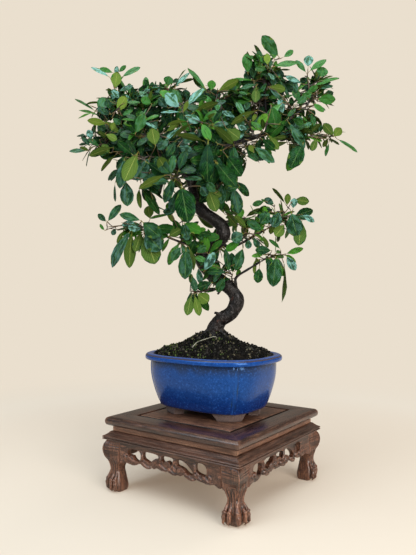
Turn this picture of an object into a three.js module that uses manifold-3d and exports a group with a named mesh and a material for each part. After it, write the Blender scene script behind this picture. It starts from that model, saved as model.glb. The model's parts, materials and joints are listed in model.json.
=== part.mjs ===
// A firethorn bonsai in a blue glazed pot, on a carved hardwood stand with clawed feet.
// Millimetres, +Z up. The stand is square to X and Y; the tree is drawn in its own frame, turned
// about Z, in which X runs across the tree's front, Y to its back and Z up.
import * as THREE from 'three';
import { mergeVertices } from 'three/addons/utils/BufferGeometryUtils.js';
import Module from 'manifold-3d';

const wasm = await Module();
wasm.setup();

// Driving dimensions
const gap = 0.3;                 // clearance where two pieces meet
const topSize = 230;             // the stand's square top
const topZ = 106.7;              // its upper face
const railWidth = 31.4;
const boardBottomZ = 93.9;
const waistBottomZ = 85.7;
const waistInset = 7.7;
const corniceBottomZ = 73.9;
const corniceOverhang = 2.6;
const apronThickness = 8;
const apronInset = 3.5;
const legWidth = 25;
const potLength = 202;           // over the rolled lip, along X
const potWidth = 160;
const potTopZ = 196.8;
const potFootHeight = 10.2;
const potCentre = [-2.4, -1.7];
const drainRadius = 9;
const drainSpacing = 62;
const soilPeakZ = 229;
const treeTurn = THREE.MathUtils.degToRad(35.54);
const goldenAngle = THREE.MathUtils.degToRad(137.508);
const leafShare = 0.57;          // the part of the leaves that the solids carry
const leafThickness = 1.1;

// Finishes
const finish = (color, roughness) => new THREE.MeshStandardMaterial({ color, roughness, metalness: 0 });
const darkWood = finish('#5a3d30', 0.45);
const panelWood = finish('#6f4a38', 0.55);
const blueGlaze = finish('#1f4fa8', 0.2);
const drainMesh = finish('#3b3b38', 0.7);
const darkSoil = finish('#26231f', 0.95);
const bark = finish('#2c211c', 0.7);
const leafGreen = finish('#2c6a3c', 0.35);

const bonsai = new THREE.Group();
const stand = new THREE.Group();
const potted = new THREE.Group();
const tree = new THREE.Group();
bonsai.add(stand, potted, tree);
potted.position.set(potCentre[0], potCentre[1], 0);
tree.rotation.z = treeTurn;

function place(group, name, geometry, material) {
  const mesh = new THREE.Mesh(geometry, material);
  mesh.name = name;
  group.add(mesh);
  return mesh;
}

// A closed geometry from points and triangles
function faceted(points, triangles) {
  const geometry = new THREE.BufferGeometry();
  geometry.setAttribute('position', new THREE.Float32BufferAttribute(points.flatMap((p) => p.toArray()), 3));
  geometry.setIndex(triangles.flat());
  return geometry;
}

// Rings of equal length joined one to the next, with both ends closed. outline is the flat
// section that the ends are cut from, counter-clockwise as seen against the direction of the loft.
function loft(rings, outline = null) {
  const count = rings[0].length;
  const triangles = [];
  for (let k = 0; k + 1 < rings.length; k += 1) {
    for (let i = 0; i < count; i += 1) {
      const a = k * count + i;
      const b = k * count + ((i + 1) % count);
      triangles.push([a, b, b + count], [a, b + count, a + count]);
    }
  }
  const flat = outline ?? rings[0].map((_, i) => {
    const angle = (2 * Math.PI * i) / count;
    return new THREE.Vector2(Math.cos(angle), Math.sin(angle));
  });
  const last = (rings.length - 1) * count;
  for (const [a, b, c] of THREE.ShapeUtils.triangulateShape(flat, [])) {
    triangles.push([a, c, b], [last + a, last + b, last + c]);
  }
  return faceted(rings.flat(), triangles);
}

function toSolid(geometry) {
  const bare = geometry.clone();
  bare.deleteAttribute('normal');
  bare.deleteAttribute('uv');
  const merged = mergeVertices(bare, 1e-5);
  return new wasm.Manifold(new wasm.Mesh({
    numProp: 3,
    vertProperties: new Float32Array(merged.attributes.position.array),
    triVerts: new Uint32Array(merged.index.array),
  }));
}

function toGeometry(manifold) {
  const mesh = manifold.getMesh();
  const geometry = new THREE.BufferGeometry();
  geometry.setAttribute('position', new THREE.BufferAttribute(new Float32Array(mesh.vertProperties), 3));
  geometry.setIndex(new THREE.BufferAttribute(new Uint32Array(mesh.triVerts), 1));
  return geometry;
}

const joined = (solids) => solids.reduce((sum, next) => sum.add(next));

// The stand's four sides: each piece is drawn for the front, facing -Y, and turned to its side
const sideNames = ['front', 'right', 'back', 'left'];

function onEachSide(prefix, geometry, material) {
  sideNames.forEach((side, k) => {
    place(stand, `${prefix}_${side}`, geometry, material).rotation.z = (k * Math.PI) / 2;
  });
}

// A mitred strip along the front: section points are [distance from the stand's centre, height]
function mitredStrip(section) {
  const outline = section.map(([out, z]) => new THREE.Vector2(out, z));
  const end = (side) => section.map(([out, z]) => new THREE.Vector3(side * (out - gap / 2), -out, z));
  return loft([end(1), end(-1)], outline);
}

// Top rails: bullnose outside, a groove for the panel's tongue inside
const half = topSize / 2;
const railInner = half - railWidth;
const boardThickness = topZ - boardBottomZ;
const bullnose = [];
for (let k = 0; k <= 6; k += 1) {
  const angle = -Math.PI / 2 + (Math.PI * k) / 6;
  bullnose.push([half - boardThickness * 0.42 * (1 - Math.cos(angle)),
    boardBottomZ + (boardThickness / 2) * (1 + Math.sin(angle))]);
}
const tongueTop = topZ - 4;
const tongueBottom = topZ - 8;
const tongueDepth = 4;
onEachSide('stand_rail', mitredStrip([
  [railInner, boardBottomZ],
  ...bullnose,
  [railInner, topZ],
  [railInner, tongueTop + gap],
  [railInner + tongueDepth, tongueTop + gap],
  [railInner + tongueDepth, tongueBottom - gap],
  [railInner, tongueBottom - gap],
]), darkWood);

// Floating panel: its tongue sits in the rails, and a narrow dark groove shows round it
const panelGroove = 1.6;
const square = (size, z) => [[1, -1], [1, 1], [-1, 1], [-1, -1]]
  .map(([x, y]) => new THREE.Vector3(x * size, y * size, z));
place(stand, 'stand_panel', loft([
  square(railInner - panelGroove, boardBottomZ + 2),
  square(railInner - panelGroove, tongueBottom),
  square(railInner + tongueDepth - gap, tongueBottom),
  square(railInner + tongueDepth - gap, tongueTop),
  square(railInner - panelGroove, tongueTop),
  square(railInner - panelGroove, topZ),
]), panelWood);

// Waist boards and the cornice below them: a hollow slope, an upper lip, a groove, a lower lip
const waistOut = half - waistInset;
onEachSide('stand_waist', mitredStrip([
  [waistOut - 12, waistBottomZ + gap],
  [waistOut, waistBottomZ + gap],
  [waistOut, boardBottomZ - gap],
  [waistOut - 12, boardBottomZ - gap],
]), darkWood);
const corniceOut = half + corniceOverhang;
onEachSide('stand_cornice', mitredStrip([
  [corniceOut - 30, corniceBottomZ],
  [corniceOut - 1.5, corniceBottomZ],
  [corniceOut, corniceBottomZ + 1.2],
  [corniceOut - 0.3, corniceBottomZ + 2.4],
  [corniceOut - 2, corniceBottomZ + 3],
  [corniceOut, corniceBottomZ + 3.8],
  [corniceOut, corniceBottomZ + 5.1],
  [corniceOut - 3.6, corniceBottomZ + 7],
  [corniceOut - 6.6, corniceBottomZ + 10],
  [corniceOut - 9.8, waistBottomZ],
  [corniceOut - 30, waistBottomZ],
]), darkWood);

// Aprons: boards with five cut-outs and a scalloped lower edge, a carved scroll along the front
const apronHalf = half - 2.2 - legWidth - gap;
const apronTop = corniceBottomZ - gap;
const apronFoot = apronTop - 26.5;
const lobes = 9;

function apronEdge(x) {
  const scallop = Math.abs(Math.sin((Math.PI * lobes * (x + apronHalf)) / (2 * apronHalf)));
  const bracket = Math.max(0, (Math.abs(x) - apronHalf + 16) / 16);
  return apronFoot - 2.6 * scallop - 9 * bracket ** 2;
}

function oval(centreX, centreZ, halfX, halfZ, lean) {
  const points = [];
  for (let k = 0; k < 8; k += 1) {
    const angle = (-2 * Math.PI * k) / 8;
    const x = halfX * Math.cos(angle);
    const z = halfZ * Math.sin(angle);
    points.push(new THREE.Vector2(centreX + x, centreZ + z + lean * x));
  }
  return new THREE.Path(points);
}

const apronOutline = [new THREE.Vector2(apronHalf, apronTop), new THREE.Vector2(-apronHalf, apronTop)];
for (let k = 0; k <= lobes * 2; k += 1) {
  const x = -apronHalf + (2 * apronHalf * k) / (lobes * 2);
  apronOutline.push(new THREE.Vector2(x, apronEdge(x)));
}
const apronShape = new THREE.Shape(apronOutline);
apronShape.holes = [
  oval(0, apronTop - 9.8, 9.5, 5.2, 0),
  oval(-29, apronTop - 12.4, 12, 6, 0.12),
  oval(29, apronTop - 12.4, 12, 6, -0.12),
  oval(-56.5, apronTop - 12.2, 7.6, 6.2, 0),
  oval(56.5, apronTop - 12.2, 7.6, 6.2, 0),
];
const apronBoard = new THREE.ExtrudeGeometry(apronShape, { depth: apronThickness, bevelEnabled: false });
apronBoard.rotateX(Math.PI / 2);
apronBoard.translate(0, -(half - apronInset - apronThickness), 0);
onEachSide('stand_apron', apronBoard, darkWood);

// Legs: a full shoulder under the cornice, a slim ankle, a clawed foot on a flat sole. Each
// section is a square with rounded corners; out and back are its outer and inner faces.
const legSections = [
  // height, out, back, corner rounding, toe relief
  [0, 110.5, 92, 4, 0],
  [4, 114.2, 90.2, 4.6, 1.1],
  [18, 116, 91, 5, 1.6],
  [25, 114.2, 93.5, 4.5, 0.9],
  [33, 112.2, 96.2, 3.5, 0.3],
  [42, 113.4, 95.5, 2.5, 0],
  [50, 116.4, 92.5, 1.5, 0],
  [60, 117.2, 88.4, 1, 0],
  [68, 115.6, 88, 1, 0],
  [corniceBottomZ - gap, 112.8, 87.8, 1, 0],
];

function legRing([z, out, back, rounding, toes]) {
  const middle = (out + back) / 2;
  const reach = (out - back) / 2;
  const ring = [];
  [[1, -1], [1, 1], [-1, 1], [-1, -1]].forEach(([sx, sy], corner) => {
    const next = [[0, 1], [-1, 0], [0, -1], [1, 0]][corner];
    for (const step of [0.15, 0.85]) {
      const turn = corner * (Math.PI / 2) - Math.PI / 2 + step * (Math.PI / 2);
      ring.push(new THREE.Vector3(
        middle + sx * (reach - rounding) + rounding * Math.cos(turn),
        -middle + sy * (reach - rounding) + rounding * Math.sin(turn), z));
    }
    const outer = corner === 0 || corner === 3;
    for (const part of outer ? [0.27, 0.5, 0.73] : [0.5]) {
      const span = 2 * (reach - rounding);
      const dent = outer && part !== 0.5 ? toes : 0;
      ring.push(new THREE.Vector3(
        middle + sx * reach + next[0] * (rounding + span * part) - (next[0] === 0 ? sx * dent : 0),
        -middle + sy * reach + next[1] * (rounding + span * part) - (next[1] === 0 ? sy * dent : 0), z));
    }
  });
  return ring;
}

const legOutline = legRing(legSections[5]).map((p) => new THREE.Vector2(p.x, p.y));
const leg = loft(legSections.map(legRing), legOutline);
sideNames.forEach((_, k) => {
  const corner = ['front_right', 'back_right', 'back_left', 'front_left'][k];
  place(stand, `stand_leg_${corner}`, leg, darkWood).rotation.z = (k * Math.PI) / 2;
});

// Pot: plan curves are superellipses drawn in from the lip's outline by an inset
const cornerParam = [0, 14, 26, 35, 40.5, 43.6, 45, 46.4, 49.5, 55, 64, 76];
const ribShape = [0, 0, 0, 0, -0.9, -0.8, 0.8, -0.8, -0.9, 0, 0, 0];

function potPoint(inset, power, z, angle, push = 0) {
  const c = Math.cos(angle);
  const s = Math.sin(angle);
  const x = (potLength / 2 - inset) * Math.sign(c) * Math.abs(c) ** (2 / power);
  const y = (potWidth / 2 - inset) * Math.sign(s) * Math.abs(s) ** (2 / power);
  const scale = 1 + push / Math.hypot(x, y);
  return new THREE.Vector3(x * scale, y * scale, z);
}

function potRing([inset, power, z, rib]) {
  const ring = [];
  for (let quarter = 0; quarter < 4; quarter += 1) {
    cornerParam.forEach((degrees, i) => {
      const angle = THREE.MathUtils.degToRad(quarter * 90 + degrees);
      ring.push(potPoint(inset, power, z, angle, rib * ribShape[i]));
    });
  }
  return ring;
}

const potFloorZ = topZ + potFootHeight;
const potBody = toSolid(loft([
  // inset, roundness of the plan, height, strength of the corner rib
  [28.5, 3.5, potFloorZ, 0],
  [24.8, 3.5, potFloorZ + 1.8, 0.4],
  [20, 3.4, 130, 1],
  [14.8, 3.3, 145, 1],
  [10.6, 3.2, 162, 1],
  [8.4, 3, 181, 1],
  [8.4, 2.9, 187.2, 0.5],
  [1, 2.9, 187.8, 0],
  [0, 2.9, 190, 0],
  [0.6, 2.9, 194.4, 0],
  [5.4, 2.9, potTopZ, 0],
  [11.8, 2.9, potTopZ - 1.6, 0],
  [16.4, 3.1, 160, 0],
  [34, 3.4, potFloorZ + 6.5, 0],
].map(potRing)));

// Bracket feet of bare clay, one under each corner, narrower at the ground
function footRing(z, from, to, inset, thickness) {
  const ring = [];
  for (let k = 0; k <= 4; k += 1) {
    ring.push(potPoint(inset, 3.5, z, THREE.MathUtils.degToRad(from + ((to - from) * k) / 4)));
  }
  for (let k = 4; k >= 0; k -= 1) {
    ring.push(potPoint(inset + thickness, 3.5, z, THREE.MathUtils.degToRad(from + ((to - from) * k) / 4)));
  }
  return ring;
}

const feet = [0, 90, 180, 270].map((turn) => {
  const along = turn % 180 === 0 ? [14, 64] : [26, 76];
  const low = [along[0] + 9, along[1] - 9];
  const bottom = footRing(topZ + gap, turn + low[0], turn + low[1], 33, 13);
  const upper = footRing(potFloorZ + 1.2, turn + along[0], turn + along[1], 29.5, 18);
  return toSolid(loft([bottom, upper], bottom.map(({ x, y }) => new THREE.Vector2(x, y))));
});
const drains = [-1, 1].map((side) => toSolid(new THREE.CylinderGeometry(drainRadius, drainRadius, 30, 14)
  .rotateX(Math.PI / 2).translate((side * drainSpacing) / 2, 0, potFloorZ + 4)));
const potSolid = joined([potBody, ...feet]).subtract(joined(drains));
place(potted, 'pot', toGeometry(potSolid), blueGlaze);

// Drainage meshes: thin squares laid over the drain holes inside the pot
['left', 'right'].forEach((side, k) => {
  const plate = new THREE.BoxGeometry(26, 26, 0.8);
  plate.translate((k - 0.5) * drainSpacing, 0, potFloorZ + 6.5 + gap + 0.4);
  place(potted, `drain_mesh_${side}`, plate, drainMesh);
});

// Trunk and main branches, as points [x, y, z] in the tree's frame with a radius at each end
const trunkPoints = [
  [0, 0, 205], [0, 0, 216], [0, 0, 225], [3, 0, 234], [11, -3, 248], [27, -6, 259], [35, -6, 277],
  [24, -4, 294], [9, -2, 305], [-7, 0, 318], [-20, 3, 336], [-13, 4, 354], [5, 2, 365], [12, 0, 377],
  [10, -2, 392], [-5, -3, 405], [-21, -2, 417], [-31, 0, 434], [-34, 2, 448], [-31, 2, 464],
];
const trunkRadii = [11, 12.5, 14.5, 12, 11, 10.6, 10, 10.4, 10.6, 10.2, 10, 9.4, 9, 9, 8.8, 8.6, 8, 7,
  6.2, 5];
const branches = {
  right_main: [[-32, 2, 461], [-15, -3, 482], [1, -8, 502], [36, -12, 514], [67, -14, 524], [94, -15, 533],
    [115, -14, 551], [134, -10, 565]],
  right_upright: [[78, -14, 527], [79, -8, 552], [77, -3, 576], [76, 0, 604]],
  left_main: [[-34, 2, 449], [-53, 4, 479], [-84, 6, 501], [-112, 6, 510], [-138, 5, 517]],
  left_upper: [[-53, 4, 478], [-77, 10, 511], [-103, 12, 546], [-132, 8, 566]],
  leader: [[-32, 2, 460], [-33, 6, 500], [-41, 10, 540], [-50, 8, 566]],
  centre_up: [[-14, -3, 483], [-8, 0, 513], [0, 2, 545], [9, 0, 568]],
  back_left: [[-33, 2, 455], [-46, 26, 481], [-62, 56, 506], [-78, 84, 522]],
  back_right: [[-16, -3, 481], [-8, 26, 500], [14, 52, 517], [36, 76, 530]],
  back_low: [[-34, 2, 443], [-31, 26, 456], [-24, 54, 468], [-16, 76, 476]],
  front_left: [[-48, 4, 472], [-62, -14, 476], [-78, -34, 480], [-88, -52, 482]],
  front_centre: [[-34, 2, 451], [-36, -20, 458], [-44, -42, 459], [-52, -60, 456]],
  lower_left: [[-17, 4, 350], [-29, 0, 357], [-46, -5, 362], [-70, -10, 371], [-94, -14, 382]],
  lower_right: [[2, 2, 362], [24, -12, 357], [42, -14, 363], [63, -18, 375], [76, -20, 382]],
  low_right: [[33, -6, 288], [31, -14, 301], [32, -16, 311], [50, -18, 323], [68, -20, 334]],
  lowest_left: [[12, -3, 302], [2, -13, 294], [-9, -16, 292], [-18, -18, 290]],
  lower_back: [[-20, 3, 338], [-22, 26, 346], [-18, 50, 356], [-12, 70, 364]],
  upper_back: [[10, -2, 390], [18, 20, 398], [30, 42, 404], [40, 58, 408]],
};
const branchRadius = {
  right_main: [5, 2.2], left_main: [4.2, 1.9], left_upper: [3, 1.8], leader: [3.6, 1.9],
};
const twigRadius = [2.6, 1.6];

const toVectors = (points) => points.map((p) => new THREE.Vector3(...p));
const curveOf = (points) => new THREE.CatmullRomCurve3(toVectors(points), false, 'catmullrom', 0.5);

// A round tube along a curve, its radius read at each step; frames are carried along unturned
function tube(curve, radiusAt, sides, steps) {
  const rings = [];
  let side = null;
  for (let k = 0; k <= steps; k += 1) {
    const t = k / steps;
    const centre = curve.getPoint(t);
    const forward = curve.getTangent(t).normalize();
    if (side === null) {
      const level = Math.abs(forward.z) < 0.9 ? new THREE.Vector3(0, 0, 1) : new THREE.Vector3(1, 0, 0);
      side = new THREE.Vector3().crossVectors(level, forward);
    }
    side.addScaledVector(forward, -side.dot(forward)).normalize();
    const other = new THREE.Vector3().crossVectors(forward, side);
    const ring = [];
    for (let i = 0; i < sides; i += 1) {
      const angle = (2 * Math.PI * i) / sides;
      ring.push(centre.clone()
        .addScaledVector(side, radiusAt(t) * Math.cos(angle))
        .addScaledVector(other, radiusAt(t) * Math.sin(angle)));
    }
    rings.push(ring);
  }
  return loft(rings);
}

function trunkRadiusAt(t) {
  const place01 = t * (trunkRadii.length - 1);
  const k = Math.min(Math.floor(place01), trunkRadii.length - 2);
  return THREE.MathUtils.lerp(trunkRadii[k], trunkRadii[k + 1], place01 - k);
}

const branchCurves = {};
const branchSolids = Object.entries(branches).map(([name, points]) => {
  const [thick, thin] = branchRadius[name] ?? twigRadius;
  branchCurves[name] = curveOf(points);
  const steps = Math.ceil((points.length - 1) * 1.15);
  const radiusAt = (t) => THREE.MathUtils.lerp(thick, thin, t);
  return toSolid(tube(branchCurves[name], radiusAt, thick > 4 ? 6 : 4, steps));
});
const trunk = toSolid(tube(curveOf(trunkPoints), trunkRadiusAt, 9, 31));

// Leafy sprays. Each grows from a branch at a place from 0 to 1 along it. The first tip ends its
// stem and the others are side shoots: [x, y, z, number of leaves, leaf length, lift], where lift
// turns the rosette up (above 0) or lets it hang (below 0).
const sprays = [
  ['left_tip', 'left_main', 1, [[-190, -5, 508, 6, 32, 0], [-186, 5, 530, 5, 28, 0.5],
    [-176, 14, 497, 4, 26, -0.4], [-160, -14, 530, 5, 30, 0.6]]],
  ['left_low', 'left_main', 0.78, [[-152, -26, 497, 5, 34, -0.8], [-134, -24, 487, 6, 42, -1.4],
    [-144, -6, 476, 5, 36, -1.2]]],
  ['left_top', 'left_upper', 1, [[-154, 0, 600, 7, 38, 1.2], [-174, 6, 580, 6, 30, 0.5],
    [-183, -14, 559, 5, 30, 0.1], [-143, -27, 562, 5, 30, 0.5]]],
  ['left_rise', 'left_upper', 0.72, [[-125, 16, 590, 6, 30, 0.8], [-104, 0, 594, 6, 32, 0.9],
    [-112, 34, 586, 6, 30, 0.8]]],
  ['left_front', 'left_upper', 0.4, [[-110, -48, 512, 6, 36, 0.3], [-84, -60, 512, 5, 34, 0.2],
    [-108, -46, 536, 6, 32, 0.6], [-134, -38, 542, 5, 30, 0.5]]],
  ['left_back', 'left_upper', 0.55, [[-128, 62, 556, 6, 34, 0.6], [-160, 42, 544, 6, 32, 0.3],
    [-98, 70, 572, 6, 32, 0.8], [-150, 60, 522, 5, 32, -0.2]]],
  ['crown_left', 'leader', 1, [[-76, -5, 602, 6, 34, 0.9], [-60, 12, 612, 6, 32, 1.1],
    [-46, -44, 560, 7, 36, 0.5], [-94, 22, 604, 5, 30, 0.8]]],
  ['crown_back', 'leader', 0.66, [[-60, 62, 594, 6, 34, 0.8], [-34, 46, 602, 6, 32, 0.9],
    [-84, 48, 580, 6, 32, 0.6]]],
  ['crown_top', 'centre_up', 1, [[-12, -8, 596, 6, 32, 1], [4, -30, 590, 5, 30, 0.8],
    [18, 6, 598, 6, 32, 1], [34, -6, 597, 5, 30, 0.7]]],
  ['crown_front', 'centre_up', 0.35, [[-20, -66, 528, 6, 36, 0.3], [8, -60, 538, 6, 34, 0.4],
    [-4, -46, 560, 6, 32, 0.7], [-40, -56, 512, 5, 34, 0]]],
  ['crown_rear', 'centre_up', 0.6, [[14, 58, 578, 6, 34, 0.7], [42, 40, 584, 6, 32, 0.8],
    [-6, 78, 562, 6, 34, 0.5], [62, 32, 556, 6, 34, 0.5]]],
  ['right_top', 'right_upright', 1, [[92, 0, 645, 5, 42, 1.4], [85, -16, 623, 6, 34, 0.6],
    [54, 5, 622, 5, 36, 0.9], [76, 12, 638, 5, 30, 1],
    [95, 16, 610, 5, 32, 0.4]]],
  ['right_rise', 'right_upright', 0.55, [[58, -14, 594, 5, 32, 0.5], [52, 14, 590, 5, 32, 0.6],
    [62, -4, 576, 5, 32, 0.2]]],
  ['right_end', 'right_main', 1, [[141, -5, 616, 6, 32, 1.1], [158, 8, 614, 6, 30, 0.8],
    [152, -14, 582, 6, 32, 0.2], [128, 8, 600, 5, 30, 0.6]]],
  ['right_low', 'right_main', 0.86, [[128, -34, 562, 6, 32, 0.2], [148, -24, 552, 5, 30, -0.4],
    [105, -42, 540, 5, 40, -0.6], [102, -40, 568, 5, 38, 0.2],
    [92, -30, 584, 5, 32, 0.2]]],
  ['right_tip', 'right_main', 0.68, [[170, -20, 517, 6, 34, 0], [180, -8, 530, 5, 26, 0.4],
    [152, -36, 514, 5, 30, -0.6], [126, -30, 504, 5, 42, -0.9], [150, 4, 527, 5, 32, 0.3]]],
  ['right_back', 'right_main', 0.74, [[112, 44, 556, 6, 34, 0.5], [138, 40, 548, 6, 34, 0.2],
    [84, 52, 566, 6, 34, 0.7], [120, 60, 530, 5, 34, -0.3]]],
  ['middle_front', 'right_main', 0.5, [[73, -38, 508, 5, 36, -0.4], [80, -52, 552, 5, 40, 0.3],
    [42, -50, 541, 6, 38, 0.4], [54, -46, 500, 5, 36, -0.7]]],
  ['middle_under', 'right_main', 0.36, [[28, -48, 505, 6, 38, -0.2], [10, -52, 492, 5, 38, -0.7],
    [46, -24, 490, 5, 34, -1.1]]],
  ['back_right', 'back_right', 1, [[40, 104, 544, 6, 36, 0.5], [66, 84, 536, 6, 34, 0.2],
    [18, 110, 524, 6, 36, 0], [56, 96, 512, 5, 36, -0.4]]],
  ['back_left', 'back_left', 1, [[-92, 108, 538, 6, 36, 0.5], [-118, 88, 524, 6, 34, 0.2],
    [-66, 116, 520, 6, 36, 0], [-104, 96, 500, 5, 36, -0.5]]],
  ['back_low', 'back_low', 1, [[-22, 104, 488, 6, 38, -0.2], [4, 88, 478, 5, 38, -0.6],
    [-46, 88, 470, 6, 40, -0.8]]],
  ['front_left', 'front_left', 1, [[-112, -66, 474, 6, 40, -0.7], [-96, -80, 468, 6, 42, -0.8],
    [-106, -54, 442, 6, 40, -1.3], [-90, -44, 422, 4, 34, -1.2]]],
  ['front_centre', 'front_centre', 1, [[-60, -86, 446, 7, 42, 0.1], [-44, -76, 434, 5, 48, -1.3],
    [-82, -72, 450, 5, 40, -0.4]]],
  ['front_right', 'right_main', 0.14, [[-12, -60, 494, 5, 46, -0.9], [2, -62, 474, 6, 42, -0.9],
    [20, -46, 472, 6, 38, -0.8], [4, -38, 440, 5, 40, -1.3], [28, -32, 452, 5, 42, -1.2]]],
  ['lower_left_end', 'lower_left', 1, [[-161, -15, 386, 5, 26, 0.5], [-137, -20, 392, 5, 26, 0.3],
    [-112, -30, 385, 7, 42, -1.3], [-106, -8, 376, 6, 40, -1.2], [-168, -2, 382, 3, 18, -0.2]]],
  ['lower_left_near', 'lower_left', 0.42, [[-52, -30, 362, 5, 40, -1.4], [-48, -26, 392, 5, 34, -1],
    [-66, -14, 406, 6, 34, 0.6], [-60, 14, 392, 6, 34, 0.3]]],
  ['lower_right_end', 'lower_right', 1, [[108, -30, 412, 6, 32, 0.7], [88, -20, 416, 7, 28, 0.7],
    [74, -38, 380, 5, 34, -0.3], [118, -14, 402, 6, 38, -0.9], [104, 4, 404, 5, 30, 0.2]]],
  ['lower_right_mid', 'lower_right', 0.45, [[46, -34, 382, 5, 34, 0.2], [66, -42, 366, 4, 24, -0.9],
    [32, -24, 394, 5, 32, 0.5], [38, -36, 364, 4, 26, -0.8]]],
  ['low_right_end', 'low_right', 1, [[104, -22, 345, 5, 32, -0.4], [78, -30, 342, 6, 44, -0.9],
    [62, -34, 336, 4, 30, 0], [92, -6, 346, 4, 30, 0.2]]],
  ['low_centre', 'low_right', 0.22, [[26, -34, 316, 5, 34, 0.6], [14, -36, 318, 5, 34, 0.2],
    [-6, -34, 328, 6, 32, 0.3], [-12, -30, 346, 5, 30, 0.5]]],
  ['lowest_left', 'lowest_left', 1, [[-37, -20, 290, 5, 32, -0.9], [-26, -24, 289, 4, 32, -1],
    [-16, -28, 286, 3, 24, -0.6]]],
  ['lower_rear', 'lower_back', 1, [[-14, 92, 368, 6, 34, 0.2], [12, 84, 372, 5, 32, 0.3],
    [-40, 80, 362, 6, 36, -0.6], [-8, 70, 350, 5, 34, -1]]],
  ['upper_rear', 'upper_back', 1, [[52, 74, 412, 6, 34, 0.3], [26, 78, 414, 6, 34, 0.3],
    [66, 52, 406, 5, 34, -0.5]]],
];

// A plain random draw from 0 to 1 that gives the same row of numbers for the same seed
function drawsFrom(seed) {
  let state = seed >>> 0;
  return () => {
    state = (Math.imul(state, 1664525) + 1013904223) >>> 0;
    return state / 4294967296;
  };
}

const up = new THREE.Vector3(0, 0, 1);
const stubReach = 6;             // from a branch's middle to where a spray's stem begins
const crownAxis = [-20, 0];
const crownMiddle = new THREE.Vector3(-20, 0, 460);
const mainSteps = 3;
const shootSteps = 2;
const mainRadii = [1.7, 1];
const shootRadii = [0.8, 0.95];
const stemSides = [0, 1, 2];
const stemEnd = 3;
const leastLean = 0.4;           // of a leaf's direction out of its side of the stem
const rosetteRows = 2;           // rows of leaves that the solids carry at a stem's end

const pointOf = (tip) => new THREE.Vector3(tip[0], tip[1], tip[2]);

// The chords of a stem that leaves its start along a heading and bends to its end
function stemPoints(start, heading, end, steps) {
  const bow = start.distanceTo(end) * 0.35;
  const curve = new THREE.QuadraticBezierCurve3(start, start.clone().addScaledVector(heading, bow), end);
  return curve.getPoints(steps);
}

function onChords(points, t) {
  const k = Math.min(Math.floor(t * (points.length - 1)), points.length - 2);
  return points[k].clone().lerp(points[k + 1], t * (points.length - 1) - k);
}

function chordDirection(points, t) {
  const k = Math.min(Math.floor(t * (points.length - 1)), points.length - 2);
  return new THREE.Vector3().subVectors(points[k + 1], points[k]).normalize();
}

// The stems of one spray: the main one from the branch to the first tip, and the side shoots
function growStems([name, branch, along, tips]) {
  const curve = branchCurves[branch];
  const onBranch = curve.getPoint(along);
  const middle = new THREE.Vector3();
  tips.forEach((tip) => middle.addScaledVector(pointOf(tip), 1 / tips.length));
  const heading = along === 1 ? curve.getTangent(1).normalize()
    : new THREE.Vector3().subVectors(middle, onBranch).normalize();
  const root = onBranch.clone().addScaledVector(heading, along === 1 ? 0 : stubReach);
  const start = root.clone().addScaledVector(heading, gap);
  const main = stemPoints(start, heading, pointOf(tips[0]), mainSteps);
  const stems = [{ points: main, heading, tip: tips[0], radii: mainRadii }];
  const line = new THREE.Vector3().subVectors(pointOf(tips[0]), start);
  for (const tip of tips.slice(1)) {
    const share = new THREE.Vector3().subVectors(pointOf(tip), start).dot(line) / line.lengthSq();
    const from = THREE.MathUtils.clamp(share - 0.3, 0.15, 0.8);
    const foot = onChords(main, from);
    const leaving = new THREE.Vector3().subVectors(pointOf(tip), foot).normalize()
      .add(chordDirection(main, from)).normalize();
    const points = stemPoints(foot, leaving, pointOf(tip), shootSteps);
    stems.push({ points, heading: leaving, tip, radii: shootRadii });
  }
  return { name, onBranch, root, stems };
}

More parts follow.
